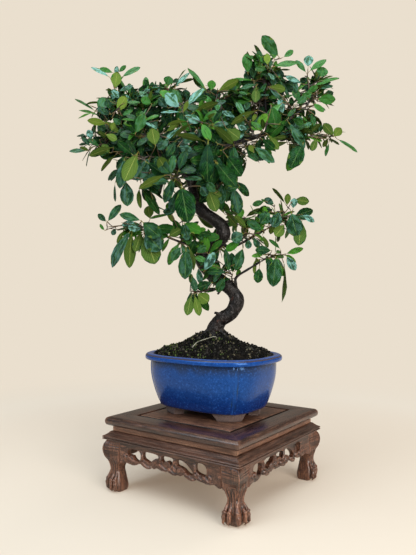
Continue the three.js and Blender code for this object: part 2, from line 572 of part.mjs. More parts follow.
// Where each leaf of a rosette stands. A stem has three sides: a leaf grows from the one that
// looks most the way the leaf goes, and each further leaf of that side stands one row back. The
// first leaf that goes nearly along the stem grows from its end.
function rosetteOf(stem, draw) {
  const [, , , count, length, lift] = stem.tip;
  const end = stem.points.at(-1);
  const forward = new THREE.Vector3().subVectors(end, stem.points.at(-2));
  const stretch = Math.min(2, (0.85 * forward.length()) / count);
  forward.normalize();
  const outward = new THREE.Vector3(end.x - crownAxis[0], end.y - crownAxis[1], 0).normalize();
  const level = Math.abs(forward.z) < 0.85 ? up : outward;
  const sideA = new THREE.Vector3().crossVectors(level, forward).normalize();
  const sideB = new THREE.Vector3().crossVectors(forward, sideA);
  const start = draw() * 2 * Math.PI;
  const normals = stemSides.map((k) => {
    const angle = start + (k * 2 + 1) * (Math.PI / 3);
    return sideA.clone().multiplyScalar(Math.cos(angle)).addScaledVector(sideB, Math.sin(angle));
  });
  const axis = forward.clone().multiplyScalar(0.7).addScaledVector(up, lift).addScaledVector(outward, 0.25);
  axis.normalize();
  const axisLevel = Math.abs(axis.z) < 0.85 ? up : outward;
  const acrossA = new THREE.Vector3().crossVectors(axisLevel, axis).normalize();
  const acrossB = new THREE.Vector3().crossVectors(axis, acrossA);
  const taken = [0, 0, 0, 0];
  const leaves = [];
  for (let i = 0; i < count; i += 1) {
    const age = (i + 0.5) / count;
    const turn = start + i * goldenAngle + (draw() - 0.5) * 0.6;
    const spread = THREE.MathUtils.degToRad(24 + 54 * age + (draw() - 0.5) * 24);
    const size = length * (0.72 + 0.28 * age + (draw() - 0.5) * 0.24);
    const along = axis.clone().multiplyScalar(Math.cos(spread))
      .addScaledVector(acrossA, Math.sin(spread) * Math.cos(turn))
      .addScaledVector(acrossB, Math.sin(spread) * Math.sin(turn)).normalize();
    const face = axis.clone().multiplyScalar(0.6).addScaledVector(up, 0.5).addScaledVector(outward, 0.35)
      .addScaledVector(acrossA, (draw() - 0.5) * 0.5);
    face.addScaledVector(along, -face.dot(along)).normalize();
    const looks = normals.map((normal) => normal.dot(along));
    const lean = Math.max(...looks);
    const side = lean < leastLean && taken[stemEnd] === 0 ? stemEnd : looks.indexOf(lean);
    const row = taken[side];
    taken[side] += 1;
    leaves.push({
      foot: end.clone().addScaledVector(forward, side === stemEnd ? 0 : -stretch * (row + 0.5)),
      along, face, side, row, lean, length: size, width: size * (0.4 + 0.12 * draw()),
      bend: 0.05 + 0.13 * draw(), fold: 0.1 + 0.22 * draw(), drawn: draw(),
    });
  }
  return { leaves, stretch, forward, sideA, start };
}

// The corners of a three-sided stem at each chord, and between the rows of leaves at its end
function stemRings({ points, radii, heading }, { stretch, forward, sideA, start }, rows) {
  const chords = points.length - 1;
  const places = points.slice(0, -1).map((centre, k) => ({
    centre,
    ahead: k === 0 ? heading : chordDirection(points, k / chords),
    radius: THREE.MathUtils.lerp(...radii, k / chords),
  }));
  for (let row = rows; row >= 0; row -= 1) {
    const centre = points.at(-1).clone().addScaledVector(forward, -row * stretch);
    places.push({ centre, ahead: forward, radius: radii[1] });
  }
  const side = sideA.clone();
  return places.toReversed().map(({ centre, ahead, radius }) => {
    side.addScaledVector(ahead, -side.dot(ahead)).normalize();
    const other = new THREE.Vector3().crossVectors(ahead, side);
    return stemSides.map((k) => {
      const angle = start + (2 * Math.PI * k) / 3;
      return centre.clone().addScaledVector(side, radius * Math.cos(angle))
        .addScaledVector(other, radius * Math.sin(angle));
    });
  }).toReversed();
}

// The corners of a stem's side face or end face, counter-clockwise from outside
function faceOf(rings, ring, side) {
  if (side === stemEnd) return rings.at(-1);
  const next = (side + 1) % 3;
  return [rings[ring][side], rings[ring][next], rings[ring + 1][next], rings[ring + 1][side]];
}

const leafFace = (rings, leaf) => faceOf(rings, rings.length - 2 - leaf.row, leaf.side);

// Four corners as two triangles, split along the diagonal that bulges outwards. Where two of the
// corners are one, one triangle is left.
function quad([a, b, c, d]) {
  const normal = new THREE.Vector3().subVectors(b, a).cross(c.clone().sub(a));
  const halves = normal.dot(d.clone().sub(a)) <= 0 ? [[a, b, c], [a, c, d]] : [[a, b, d], [b, c, d]];
  return halves.filter((corners) => new Set(corners).size === 3);
}

const ringSides = (a, b) => [0, 1, 2, 3].flatMap((k) => {
  const next = (k + 1) % 4;
  return quad([a[k], a[next], b[next], b[k]]);
});

// A place along a leaf: its left edge, upper face, right edge and lower face. The leaf is a thin
// lens, folded along its midrib and bent down towards its tip. grow makes it larger on all sides.
function leafStation({ foot, along, face, length, width, bend, fold }, t, share, grow) {
  const across = new THREE.Vector3().crossVectors(along, face);
  const wide = (width / 2) * share + grow;
  const thick = leafThickness / 2 + grow;
  const at = (s, lift) => foot.clone().addScaledVector(along, length * t).addScaledVector(across, s)
    .addScaledVector(face, length * -bend * t * t + Math.abs(s) * fold + lift);
  return [at(-wide, 0), at(0, thick), at(wide, 0), at(0, -thick)];
}

// A leaf's faces from a ring of four corners at its foot, given in the order of a leaf's station
function leafFaces(leaf, footRing, grow) {
  const middle = leafStation(leaf, 0.45, 0.78, grow);
  const [left, , right] = leafStation(leaf, 0.8, 0.9, grow);
  const tip = leafStation(leaf, 1 + grow / leaf.length, 0, -leafThickness / 2)[1];
  return [...ringSides(footRing, middle),
    ...[[middle[0], left], [left, tip], [tip, right], [right, middle[2]]].flatMap(([a, b]) => [
      [a, middle[1], b], [b, middle[3], a],
    ])];
}

// A ring of four from the corners of a face, turned round so that they lie nearest to the left,
// upper, right and lower sides of the leaf. An end face gives one of its three corners twice.
function footOnFace(leaf, corners) {
  const across = new THREE.Vector3().crossVectors(leaf.along, leaf.face);
  const rings = corners.length === 4 ? [corners]
    : corners.map((twice, k) => corners.toSpliced(k, 0, twice));
  const turned = rings.flatMap((ring) => ring.map((_, k) => [...ring.slice(k), ...ring.slice(0, k)]));
  const fits = turned.map(([left, upper, right, lower]) => right.clone().sub(left).dot(across)
    + upper.clone().sub(lower).dot(leaf.face));
  return turned[fits.indexOf(Math.max(...fits))];
}

function fromTriangles(triangles) {
  return toSolid(faceted(triangles.flat(), triangles.map((_, k) => [3 * k, 3 * k + 1, 3 * k + 2])));
}

function leafSolid(leaf, ring, grow) {
  return fromTriangles([...leafFaces(leaf, ring, grow), ...quad(ring.toReversed())]);
}

// A stem with its leaves in one closed surface
function leafyStem(rings, leaves) {
  const last = rings.length - 1;
  const triangles = [rings[0].toReversed()];
  const cover = (corners, leaf, plain) => triangles.push(...(leaf
    ? leafFaces(leaf, footOnFace(leaf, corners), 0) : plain));
  for (let ring = 0; ring < last; ring += 1) {
    for (const side of stemSides) {
      const corners = faceOf(rings, ring, side);
      const leaf = leaves.find((one) => one.side === side && last - 1 - one.row === ring);
      cover(corners, leaf, quad(corners));
    }
  }
  cover(rings[last], leaves.find((one) => one.side === stemEnd), [rings[last]]);
  return fromTriangles(triangles);
}

const grown = sprays.map((spray, index) => {
  const plant = growStems(spray);
  const draw = drawsFrom(1000 + index * 7919);
  for (const stem of plant.stems) {
    stem.rosette = rosetteOf(stem, draw);
    stem.rings = stemRings(stem, stem.rosette, rosetteRows);
  }
  return plant;
});

// Stubs on the wood reach out to each spray's stem
const stubs = grown.filter(({ onBranch, root }) => onBranch.distanceTo(root) > gap)
  .map(({ onBranch, root }) => toSolid(tube(new THREE.LineCurve3(onBranch, root), () => mainRadii[0], 3, 1)));
const wood = joined([trunk, ...branchSolids, ...stubs]);
place(tree, 'trunk_and_branches', toGeometry(wood), bark);

// The solids carry each rosette's furthest leaf and a share of the others, where they stand clear
// of the wood, of every stem and of every other leaf
const clearBy = 0.35;
const leastVolume = 1e-4;
const standing = [];

function keepClearOf(owner, body) {
  standing.push({ owner, body, box: body.boundingBox() });
}

function meets(body, owners) {
  const box = body.boundingBox();
  const near = (other) => [0, 1, 2].every((k) => box.min[k] <= other.max[k] && other.min[k] <= box.max[k]);
  return standing.some((other) => owners(other.owner) && near(other.box)
    && body.intersect(other.body).volume() > leastVolume);
}

keepClearOf(null, wood);
for (const { stems } of grown) {
  stems.forEach((stem) => keepClearOf(stem, leafyStem(stem.rings, [])));
}
for (const { name, stems } of grown) {
  const solids = stems.map((stem) => {
    const reach = ({ foot, along, length }) => foot.clone().addScaledVector(along, length)
      .distanceTo(crownMiddle);
    const furthest = Math.max(...stem.rosette.leaves.map(reach));
    const kept = stem.rosette.leaves.filter((leaf) => {
      const seated = leaf.side === stemEnd || (leaf.row < rosetteRows && leaf.lean > leastLean);
      if (!seated || (leaf.drawn > leafShare && reach(leaf) < furthest)) return false;
      const body = leafSolid(leaf, footOnFace(leaf, leafFace(stem.rings, leaf)), 0);
      const wider = leafSolid(leaf, leafStation(leaf, 0.12, 0.14, clearBy), clearBy);
      const free = !meets(body, (owner) => owner === stem) && !meets(body, (owner) => owner !== stem)
        && !meets(wider, (owner) => owner !== stem);
      if (free) keepClearOf(stem, body);
      return free;
    });
    const rows = kept.reduce((most, leaf) => Math.max(most, leaf.row + 1), 0);
    return leafyStem(stemRings(stem, stem.rosette, rows), kept);
  });
  place(tree, `spray_${name}`, toGeometry(joined(solids)), leafGreen);
}

// Soil: a lumpy mound that fills the pot, with a plain hole for the trunk
const soilClear = 0.45;
const moundHeights = [
  // share of the way out to the pot's wall, height
  [0.16, soilPeakZ - 1], [0.3, 222], [0.46, 213.5], [0.62, 207], [0.78, 203.5], [0.9, 197.5],
];

function soilRing(inset, power, z, share = 1, lump = 0) {
  const ring = [];
  for (let i = 0; i < 24; i += 1) {
    const angle = (2 * Math.PI * i) / 24;
    const p = potPoint(inset, power, z, angle);
    const height = lump * (Math.sin(i * 2.3 + share * 17) + Math.sin(i * 3.7 - share * 29) * 0.6);
    ring.push(new THREE.Vector3(p.x * share, p.y * share, z + height));
  }
  return ring;
}

const soilBody = toSolid(loft([
  soilRing(34 + soilClear, 3.4, potFloorZ + 9.2),
  soilRing(16.6 + soilClear, 3.1, 161),
  soilRing(13.2 + soilClear, 2.95, 190.5),
  soilRing(14.2 + soilClear, 2.9, 193.6),
  ...moundHeights.toReversed().map(([share, z]) => soilRing(13, 2.9, z, share, 0.8)),
]));
const buriedPoints = 8;
const trunkShare = (buriedPoints - 1) / (trunkPoints.length - 1);
const trunkHole = tube(curveOf(trunkPoints.slice(0, buriedPoints)), (t) => trunkRadiusAt(t * trunkShare) + 1,
  10, buriedPoints - 1);
const holeInPot = trunkHole.clone().rotateZ(treeTurn).translate(-potCentre[0], -potCentre[1], -0.6);
place(potted, 'soil', toGeometry(soilBody.subtract(toSolid(holeInPot))), darkSoil);

// The origin is under the middle of the whole, on the ground
bonsai.updateMatrixWorld(true);
const bounds = new THREE.Box3().setFromObject(bonsai, true);
const middle = bounds.getCenter(new THREE.Vector3());
bonsai.position.set(-middle.x, -middle.y, 0);

export default bonsai;
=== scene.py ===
# A firethorn bonsai in a blue glazed pot, on a carved hardwood stand with clawed feet. The pieces
# follow in the order in which the real thing is put together: the stand from its top board down,
# the pot on it, the drain meshes and the soil, and last the tree with its leafy sprays.
import json
import math

import bmesh
import bpy
import numpy as np
from mathutils import Matrix, Vector, kdtree, noise
from mathutils.geometry import delaunay_2d_cdt

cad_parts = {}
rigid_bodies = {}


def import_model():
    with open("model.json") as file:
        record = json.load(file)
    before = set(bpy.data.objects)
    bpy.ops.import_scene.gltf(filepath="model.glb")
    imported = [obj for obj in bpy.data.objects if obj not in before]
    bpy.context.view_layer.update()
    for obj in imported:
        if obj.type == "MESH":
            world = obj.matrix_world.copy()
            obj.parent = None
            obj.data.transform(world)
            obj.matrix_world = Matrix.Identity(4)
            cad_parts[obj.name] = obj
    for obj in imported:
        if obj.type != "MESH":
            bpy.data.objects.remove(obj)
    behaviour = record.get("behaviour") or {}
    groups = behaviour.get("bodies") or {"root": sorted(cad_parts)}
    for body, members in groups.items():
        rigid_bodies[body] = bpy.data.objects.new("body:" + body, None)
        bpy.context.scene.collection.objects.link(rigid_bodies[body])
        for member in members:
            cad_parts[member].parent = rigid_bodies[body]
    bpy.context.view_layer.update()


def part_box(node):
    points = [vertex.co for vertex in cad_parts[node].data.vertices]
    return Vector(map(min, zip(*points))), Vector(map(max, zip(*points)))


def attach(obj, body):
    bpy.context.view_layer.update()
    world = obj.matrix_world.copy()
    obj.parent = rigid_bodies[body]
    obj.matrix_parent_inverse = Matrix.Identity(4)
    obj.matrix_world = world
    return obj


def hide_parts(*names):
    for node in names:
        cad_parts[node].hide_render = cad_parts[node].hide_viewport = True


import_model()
scene = bpy.context.scene

# Camera
# It stands 0.83 m from the stand, to the right of its front and nearly level with the middle of
# the tree. Places are given in millimetres from the middle of the stand's foot.
MM = 0.001
panel_low, panel_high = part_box("stand_panel")
stand_place = np.array([(panel_low.x + panel_high.x) / 2, (panel_low.y + panel_high.y) / 2, 0])
camera_azimuth = math.radians(35.54)
camera_elevation = math.radians(-1.28)
camera_distance = 829.73
camera_aim = (-8.5, -6.07, 310.74)
lens_length = 35.38
sensor_size = 36


def in_row(points):
    """Places in millimetres, from the middle of the stand's foot, as places in the row's frame"""
    return np.asarray(points, float) * MM + stand_place


def in_scene(name, data):
    """A new object in the scene"""
    made = bpy.data.objects.new(name, data)
    scene.collection.objects.link(made)
    return made


camera_back = Vector((math.sin(camera_azimuth) * math.cos(camera_elevation),
                      -math.cos(camera_azimuth) * math.cos(camera_elevation),
                      math.sin(camera_elevation)))
camera = in_scene("camera", bpy.data.cameras.new("camera"))
camera.data.lens = lens_length
camera.data.sensor_width = sensor_size
camera.data.clip_start = 0.01
camera.location = Vector(in_row(camera_aim)) + camera_back * camera_distance * MM
camera.rotation_euler = (-camera_back).to_track_quat("-Z", "Y").to_euler()
scene.camera = camera

# Floor and light
# A sheet of cream paper that glows a little, a painted light that keeps the shadows pale; near the
# stand the glow is warm, painted bounce light. It runs out into the even cream of the studio, under
# a cool softbox overhead, two in front and a weak one behind.
paper_size = 14
paper_lit_to = 0.30
paper_even_from = 1.1
paper_colour = "#cdc3b6"
painted_bounce_colour = "#d6b695"
backdrop_colour = "#eadfce"
room_light = (0.90, 0.95, 1.0)
room_strength = 0.30
room_in_gloss = 0.30
paper_painted_glow = 0.26


def colour(code):
    """The linear colour of a hex code"""
    parts = [int(code[k:k + 2], 16) / 255 for k in (1, 3, 5)]
    return [c / 12.92 if c <= 0.04045 else ((c + 0.055) / 1.055) ** 2.4 for c in parts] + [1]


def node(kind, inputs=None, **settings):
    """A node of the tree in hand with its settings, and its inputs by name or place: a value, a
    colour's hex code, or a socket to link"""
    made = tree.nodes.new(kind)
    for key, value in settings.items():
        setattr(made, key, value)
    for key, value in (inputs or {}).items():
        if isinstance(value, bpy.types.NodeSocket):
            tree.links.new(value, made.inputs[key])
        else:
            is_code = isinstance(value, str) and value.startswith("#")
            made.inputs[key].default_value = colour(value) if is_code else value
    return made


def output(kind, inputs=None, **settings):
    """The first output of such a node"""
    return node(kind, inputs, **settings).outputs[0]


def bare_material(name):
    """A material without nodes; the helpers' next nodes are its own"""
    global tree
    material = bpy.data.materials.new(name)
    material.use_nodes = True
    tree = material.node_tree
    tree.nodes.clear()
    return material


def blended(factor, a, b, mode="MIX"):
    """Two colours mixed"""
    return node("ShaderNodeMix", {0: factor, 6: a, 7: b}, data_type="RGBA",
                blend_type=mode).outputs[2]


def between(value, low, high):
    """0 below low, 1 above high, smooth between them; high may lie below low"""
    return output("ShaderNodeMapRange", {"Value": value, "From Min": low, "From Max": high},
                interpolation_type="SMOOTHSTEP")


def surfaced(shader):
    """The shader as what the material in hand shows"""
    node("ShaderNodeOutputMaterial", {"Surface": shader})


def object_coordinates():
    return node("ShaderNodeTexCoord").outputs["Object"]


floor_mesh = bpy.data.meshes.new("floor")
floor_corners = [(-1, -1), (1, -1), (1, 1), (-1, 1)]
floor_mesh.from_pydata([(x * paper_size / 2, y * paper_size / 2, 0) for x, y in floor_corners], [],
                       [(0, 1, 2, 3)])
floor = in_scene("floor", floor_mesh)
paper = bare_material("paper")
across_floor = node("ShaderNodeVectorMath", {0: object_coordinates()}, operation="LENGTH")
# painted light: the paper partly glows, warm near the stand as painted bounce light, backdrop cream far
# out
paper_far = output("ShaderNodeMapRange", {
    "Value": across_floor.outputs["Value"], "From Min": paper_lit_to, "From Max": paper_even_from,
    "To Min": paper_painted_glow}, interpolation_type="SMOOTHSTEP")
paper_near = output("ShaderNodeBsdfDiffuse", {"Color": paper_colour})
painted_glow = output("ShaderNodeEmission", {"Color": blended(
    between(across_floor.outputs["Value"], paper_lit_to, paper_even_from * 0.7),
    painted_bounce_colour, backdrop_colour)})
paper_mix = output("ShaderNodeMixShader", {0: paper_far, 1: paper_near, 2: painted_glow})
surfaced(paper_mix)
floor_mesh.materials.append(paper)

scene.view_settings.view_transform = "Standard"
world = bpy.data.worlds.new("studio")
world.use_nodes = True
tree = world.node_tree
tree.nodes.clear()
ray = node("ShaderNodeLightPath").outputs
backdrop_light = output("ShaderNodeBackground", {"Color": backdrop_colour})
room = output("ShaderNodeBackground", {"Color": (*room_light, 1), "Strength": room_strength})
dim_room = output("ShaderNodeBackground", {"Color": backdrop_colour, "Strength": room_in_gloss})
glossed = output("ShaderNodeMixShader", {0: ray["Is Glossy Ray"], 1: room, 2: dim_room})
world_mix = output("ShaderNodeMixShader", {0: ray["Is Camera Ray"], 1: glossed, 2: backdrop_light})
node("ShaderNodeOutputWorld", {"Surface": world_mix})
scene.world = world


def softbox(name, place, aim, size, watts, tint):
    """A square light at a place, turned to what it lights"""
    light = bpy.data.lights.new(name, "AREA")
    light.shape = "SQUARE"
    light.size = size
    light.energy = watts
    light.color = tint
    made = in_scene(name, light)
    made.location = in_row(place)
    towards = Vector(in_row(aim)) - made.location
    made.rotation_euler = towards.to_track_quat("-Z", "Y").to_euler()
    return made


softbox("overhead", (120, -560, 1720), (0, 0, 250), 1.9, 47, (0.84, 0.95, 1.0))
softbox("window_left", (-1000, -2300, 1300), (0, 0, 300), 1.3, 22, (0.72, 0.88, 1.0))
softbox("fill_right", (2300, -1100, 900), (0, 0, 250), 1.5, 84, (1.0, 0.94, 0.87))
behind = softbox("fill_behind", (600, 2400, 1300), (0, 0, 300), 1.6, 30, (1.0, 0.95, 0.88))
behind.visible_glossy = False

# Top rails of the stand
# Four hardwood boards, 31 mm wide, mitred at the corners and glued round the panel's tongue. The
# outer edge is a full bullnose; years of dusting have left it smooth, and dark in the joints.
board_top = panel_high.z / MM
rail_low, rail_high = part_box("stand_rail_front")
half = (rail_high.x - rail_low.x) / 2 / MM + 0.9
rail_width = (rail_high.y - rail_low.y) / MM + 0.75
board_bottom = rail_low.z / MM
mitre_gap = 0.15
sides = ["front", "right", "back", "left"]


def loft_faces(rings, around):
    """Faces between rings of points that are listed one ring after another, and over both ends"""
    faces = []
    for k in range(rings - 1):
        for i in range(around):
            a = k * around + i
            b = k * around + (i + 1) % around
            faces.append((a, b, b + around, a + around))
    faces.append(tuple(reversed(range(around))))
    faces.append(tuple(range((rings - 1) * around, rings * around)))
    return faces


def made_mesh(name, points, faces, crease=35):
    """A mesh in the row's frame from places in millimetres, its faces turned outwards"""
    mesh = bpy.data.meshes.new(name)
    mesh.from_pydata(in_row(points).tolist(), [], faces)
    work = bmesh.new()
    work.from_mesh(mesh)
    bmesh.ops.recalc_face_normals(work, faces=work.faces)
    work.to_mesh(mesh)
    work.free()
    mesh.shade_smooth()
    mesh.set_sharp_from_angle(angle=math.radians(crease))
    return mesh


def set_down(name, mesh, material, slot, *nodes):
    """A finished piece: it rides on the one body and stands for its solids"""
    if not any(mesh.materials):
        mesh.materials.clear()
        mesh.materials.append(material)
    piece = in_scene(name, mesh)
    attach(piece, "root")
    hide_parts(*nodes)


def turned(points, quarter):
    """Places turned about the stand's middle by so many quarters"""
    c, s = [(1, 0), (0, 1), (-1, 0), (0, -1)][quarter]
    x, y, z = np.asarray(points, float).T
    return np.column_stack([c * x - s * y, s * x + c * y, z])


def rounded(corners, radius, steps=3):
    """An outline with each corner, given as [x, y] or [x, y, own radius], cut to an arc"""
    outline = []
    count = len(corners)
    for k, corner in enumerate(corners):
        here = np.array(corner[:2], float)
        before = np.array(corners[k - 1][:2], float) - here
        after = np.array(corners[(k + 1) % count][:2], float) - here
        own = corner[2] if len(corner) > 2 else radius
        reach = min(own, np.linalg.norm(before) * 0.45, np.linalg.norm(after) * 0.45)
        start = here + before / np.linalg.norm(before) * reach
        end = here + after / np.linalg.norm(after) * reach
        for step in range(steps + 1):
            t = step / steps
            outline.append((1 - t) ** 2 * start + 2 * t * (1 - t) * here + t * t * end)
    return outline


def moulding(name, section, quarter, wave=0.12, steps=44):
    """A strip mitred at both ends. Its section holds [distance from the middle, height]"""
    points = []
    for k in range(steps + 1):
        share = 2 * k / steps - 1
        for out, z in section:
            along = share * (out - mitre_gap)
            worn = wave * noise.noise((along * 0.03, z * 0.12, out * 0.09 + quarter * 7))
            points.append((along, -out + worn * (1 - share ** 8), z + worn * 0.6))
    return made_mesh(name, turned(points, quarter), loft_faces(steps + 1, len(section)), 28)


def noise_texture(place, scale, detail=3.0, roughness=0.55, distortion=0.0):
    """A noise from 0 to 1 with so many features in a metre"""
    return output("ShaderNodeTexNoise", {
        "Vector": place, "Scale": scale, "Detail": detail, "Roughness": roughness,
        "Distortion": distortion})


def maths(operation, a, b=0.0, clamp=False):
    """The result of one sum"""
    return output("ShaderNodeMath", {0: a, 1: b}, operation=operation, use_clamp=clamp)


def times(a, b, clamp=False):
    return maths("MULTIPLY", a, b, clamp)


def minus(a, b):
    return maths("SUBTRACT", a, b)


def stained(base, stain, value, low, high, most=1.0):
    """A colour that turns to another, all or most of the way, as a value goes from low to high"""
    return blended(times(between(value, low, high), most), base, stain)


def bumped(height, strength, distance):
    return output("ShaderNodeBump", {"Height": height, "Strength": strength, "Distance": distance})


def ranged(value, least, most):
    """A value from 0 to 1 spread from least to most"""
    return output("ShaderNodeMapRange", {"Value": value, "To Min": least, "To Max": most})


def coated(base, rough, normal=None, own=None):
    """A shader with its colour, roughness and bump, and other inputs of its own"""
    inputs = {"Base Color": base, "Roughness": rough, **(own or {})}
    if normal is not None:
        inputs["Normal"] = normal
    return output("ShaderNodeBsdfPrincipled", inputs)


def stretched(place, scale):
    return output("ShaderNodeMapping", {"Vector": place, "Scale": scale})


def wood(name, grain, dark, middle, pale, roughness=0.42, pores=1.0, coat=0.12, painted_shade_below=None):
    """Oiled hardwood. The grain runs along X, Y or Z, in long streaks with short open pores; the
    edges are painted pale as wear and sheen, painted shade darkens the hollows, and painted shade
    lies nearly black below a height if given."""
    material = bare_material(name)
    place = object_coordinates()
    stretch = [1.0, 1.0, 1.0]
    stretch["XYZ".index(grain)] = 0.07
    along = stretched(place, stretch)
    figure = noise_texture(along, 95, 5, 0.6, 0.7)
    streaks = noise_texture(along, 520, 3, 0.6)
    pits = noise_texture(along, 1500, 2, 0.5)
    patches = noise_texture(place, 22, 3, 0.5)
    base = blended(between(figure, 0.34, 0.64), dark, middle)
    base = stained(base, pale, streaks, 0.45, 0.72, 0.75)
    specks = noise_texture(place, 640, 2, 0.6)
    base = stained(base, dark, specks, 0.50, 0.36, 0.6)
    base = stained(base, pale, specks, 0.54, 0.68, 0.45)
    pore = times(between(pits, 0.60, 0.72), 0.55 * pores)
    base = blended(pore, base, "#22150f")
    tint = blended(between(patches, 0.35, 0.68), "#b9aea6", "#ffffff")
    base = blended(0.55, base, tint, "MULTIPLY")
    bend = node("ShaderNodeNewGeometry").outputs["Pointiness"]
    # painted shade: hollows, where the surface curves in, go nearly black; edges, where it curves out, go
    # pale as wear and painted sheen
    base = stained(base, "#120805", bend, 0.507, 0.46, 0.94)
    base = stained(base, pale, bend, 0.515, 0.60, 0.5)
    if painted_shade_below is not None:
        # painted shade: below the given height the wood is painted nearly black
        height = node("ShaderNodeSeparateXYZ", {0: place}).outputs["Z"]
        base = blended(between(height, painted_shade_below + 0.0003, painted_shade_below - 0.0003), base, "#0e0806")
    rough = ranged(streaks, roughness - 0.1, roughness + 0.14)
    height = minus(times(streaks, 0.5), pore)
    bump = bumped(height, 0.35, 0.0003)
    surfaced(coated(base, rough, bump, {
        "Coat Weight": coat, "Coat Roughness": 0.18, "Specular IOR Level": 0.4}))
    return material


rail_woods = [wood("rail_wood_" + grain, grain, "#1e0f0b", "#40271e", "#694837", 0.28, 0.8, 0.42)
              for grain in "XY"]
thickness = board_top - board_bottom
middle_z = (board_top + board_bottom) / 2
bullnose = []
for k in range(15):
    angle = -math.pi / 2 + math.pi * k / 14
    bullnose.append([half - thickness * 0.42 * (1 - math.cos(angle)),
                     middle_z + thickness / 2 * math.sin(angle)])
rail_inner = half - rail_width
tongue_top = board_top - 3.7
tongue_bottom = board_top - 8.3
rail_section = [
    *rounded([[rail_inner, board_bottom], [half - 5, board_bottom]], 0.5)[:4],
    *bullnose,
    *rounded([[half - 5, board_top], [rail_inner, board_top], [rail_inner, tongue_top]], 0.7)[4:8],
    [rail_inner, tongue_top], [rail_inner + 4, tongue_top],
    [rail_inner + 4, tongue_bottom], [rail_inner, tongue_bottom],
]
for quarter, side in enumerate(sides):
    set_down("rail_" + side, moulding("rail_" + side, rail_section, quarter),
             rail_woods[quarter % 2], "stand_wood", "stand_rail_" + side)

# Panel of the stand's top
# One thin board of a pinker, striped wood. It lies loose in the rails' groove, so that it can
# move with the weather, and a narrow gap is left open round it, its sides painted dark as shade.
panel_groove = 4.6
panel_lines = [
    # size inwards from the rails, height
    [-panel_groove, board_bottom + 2], [-panel_groove, tongue_bottom + 0.3], [3.7, tongue_bottom + 0.3],
    [3.7, tongue_top - 0.3], [-panel_groove, tongue_top - 0.3], [-panel_groove, board_top - 0.7],
    [-panel_groove - 0.25, board_top - 0.2], [-panel_groove - 0.8, board_top],
]
panel_points = []
for inset, z in panel_lines:
    reach = rail_inner + inset
    for quarter in range(4):
        for k in range(24):
            panel_points.append(turned([(reach * (k / 12 - 1), -reach, z)], quarter)[0])
# the panel's sides just below its top are painted nearly black, a painted shade in the gap round it
panel_wood = wood("panel_wood", "X", "#2a1812", "#5a3b2c", "#94694f", 0.5, 1.8, 0.1,
                  (board_top - 0.4) * MM)
set_down("panel", made_mesh("panel", panel_points, loft_faces(len(panel_lines), 96)), panel_wood,
         "panel_wood", "stand_panel")

# Waist and cornice
# Under the rails a plain recessed waist of paler wood, then a cornice: a hollow slope that runs
# out to two fine lips with a quirk between them. Both are planed strips, mitred and glued.
waist_low, waist_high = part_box("stand_waist_front")
waist_out = (waist_high.x - waist_low.x) / 2 / MM + mitre_gap
waist_section = rounded([[waist_out - 12, waist_low.z / MM], [waist_out, waist_low.z / MM],
                         [waist_out, waist_high.z / MM], [waist_out - 12, waist_high.z / MM]], 0.4)
cornice_low, cornice_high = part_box("stand_cornice_front")
cornice_out = (cornice_high.x - cornice_low.x) / 2 / MM + 1.1
cornice_foot = cornice_low.z / MM
cornice_top = cornice_high.z / MM
cornice_section = rounded([
    [cornice_out - 30, cornice_foot], [cornice_out - 1.6, cornice_foot, 1.2],
    [cornice_out, cornice_foot + 1.3, 0.9], [cornice_out - 0.4, cornice_foot + 2.5, 0.6],
    [cornice_out - 2.1, cornice_foot + 3.0, 0.5], [cornice_out - 0.2, cornice_foot + 3.7, 0.7],
    [cornice_out, cornice_foot + 4.6, 0.8], [cornice_out - 0.9, cornice_foot + 5.6, 0.7],
    [cornice_out - 4.4, cornice_foot + 7.2, 3], [cornice_out - 7.6, cornice_foot + 10.2, 3],
    [cornice_out - 9.0, cornice_top - 0.3, 0.5], [cornice_out - 9.8, cornice_top],
    [cornice_out - 30, cornice_top],
], 0.4)
waist_woods = [wood("waist_wood_" + grain, grain, "#4e3224", "#76503c", "#957059", 0.45, 0.7, 0.1)
               for grain in "XY"]
cornice_woods = [wood("cornice_wood_" + grain, grain, "#26150f", "#4a3026", "#745342", 0.30, 0.8, 0.4)
                 for grain in "XY"]
for quarter, side in enumerate(sides):
    set_down("waist_" + side, moulding("waist_" + side, waist_section, quarter),
             waist_woods[quarter % 2], "stand_wood", "stand_waist_" + side)
    set_down("cornice_" + side, moulding("cornice_" + side, cornice_section, quarter),
             cornice_woods[quarter % 2], "stand_wood", "stand_cornice_" + side)

# Aprons
# Four boards, 8 mm thick, fretted in five openings and carved from the front: posts that curl over
# into lobes, strands that sweep down from them along the lower edge, and veined leaves between.
apron_low, apron_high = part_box("stand_apron_front")
apron_half = (apron_high.x - apron_low.x) / 2 / MM
apron_top = apron_high.z / MM
apron_front = -(apron_low.y / MM - stand_place[1] / MM)
apron_back = apron_front - 8
apron_edge = [
    # The lower edge from left to right: distance from the middle, height
    (-90, 43.4), (-87, 43.2), (-82.6, 45.3), (-76, 45.6), (-70, 44.3), (-64.7, 43.7), (-58, 45.2),
    (-52.1, 48.4), (-46, 46.8), (-36.6, 46.3), (-30.8, 48.6), (-27.5, 46.4), (-24.8, 45.7),
    (-20, 47.8), (-15, 46.4), (-10.3, 45.9), (-2.6, 47.7), (2, 45.8), (7.8, 45.3), (15.6, 46.6),
    (18, 45.4), (21.2, 45.2), (25, 47.6), (31, 46.5), (38.4, 46), (44, 46.4), (49.9, 47.7),
    (56, 44.6), (63.7, 43.2), (70, 43.6), (76, 45.6), (80.4, 44.5), (84.8, 43.2), (90, 43.4),
]
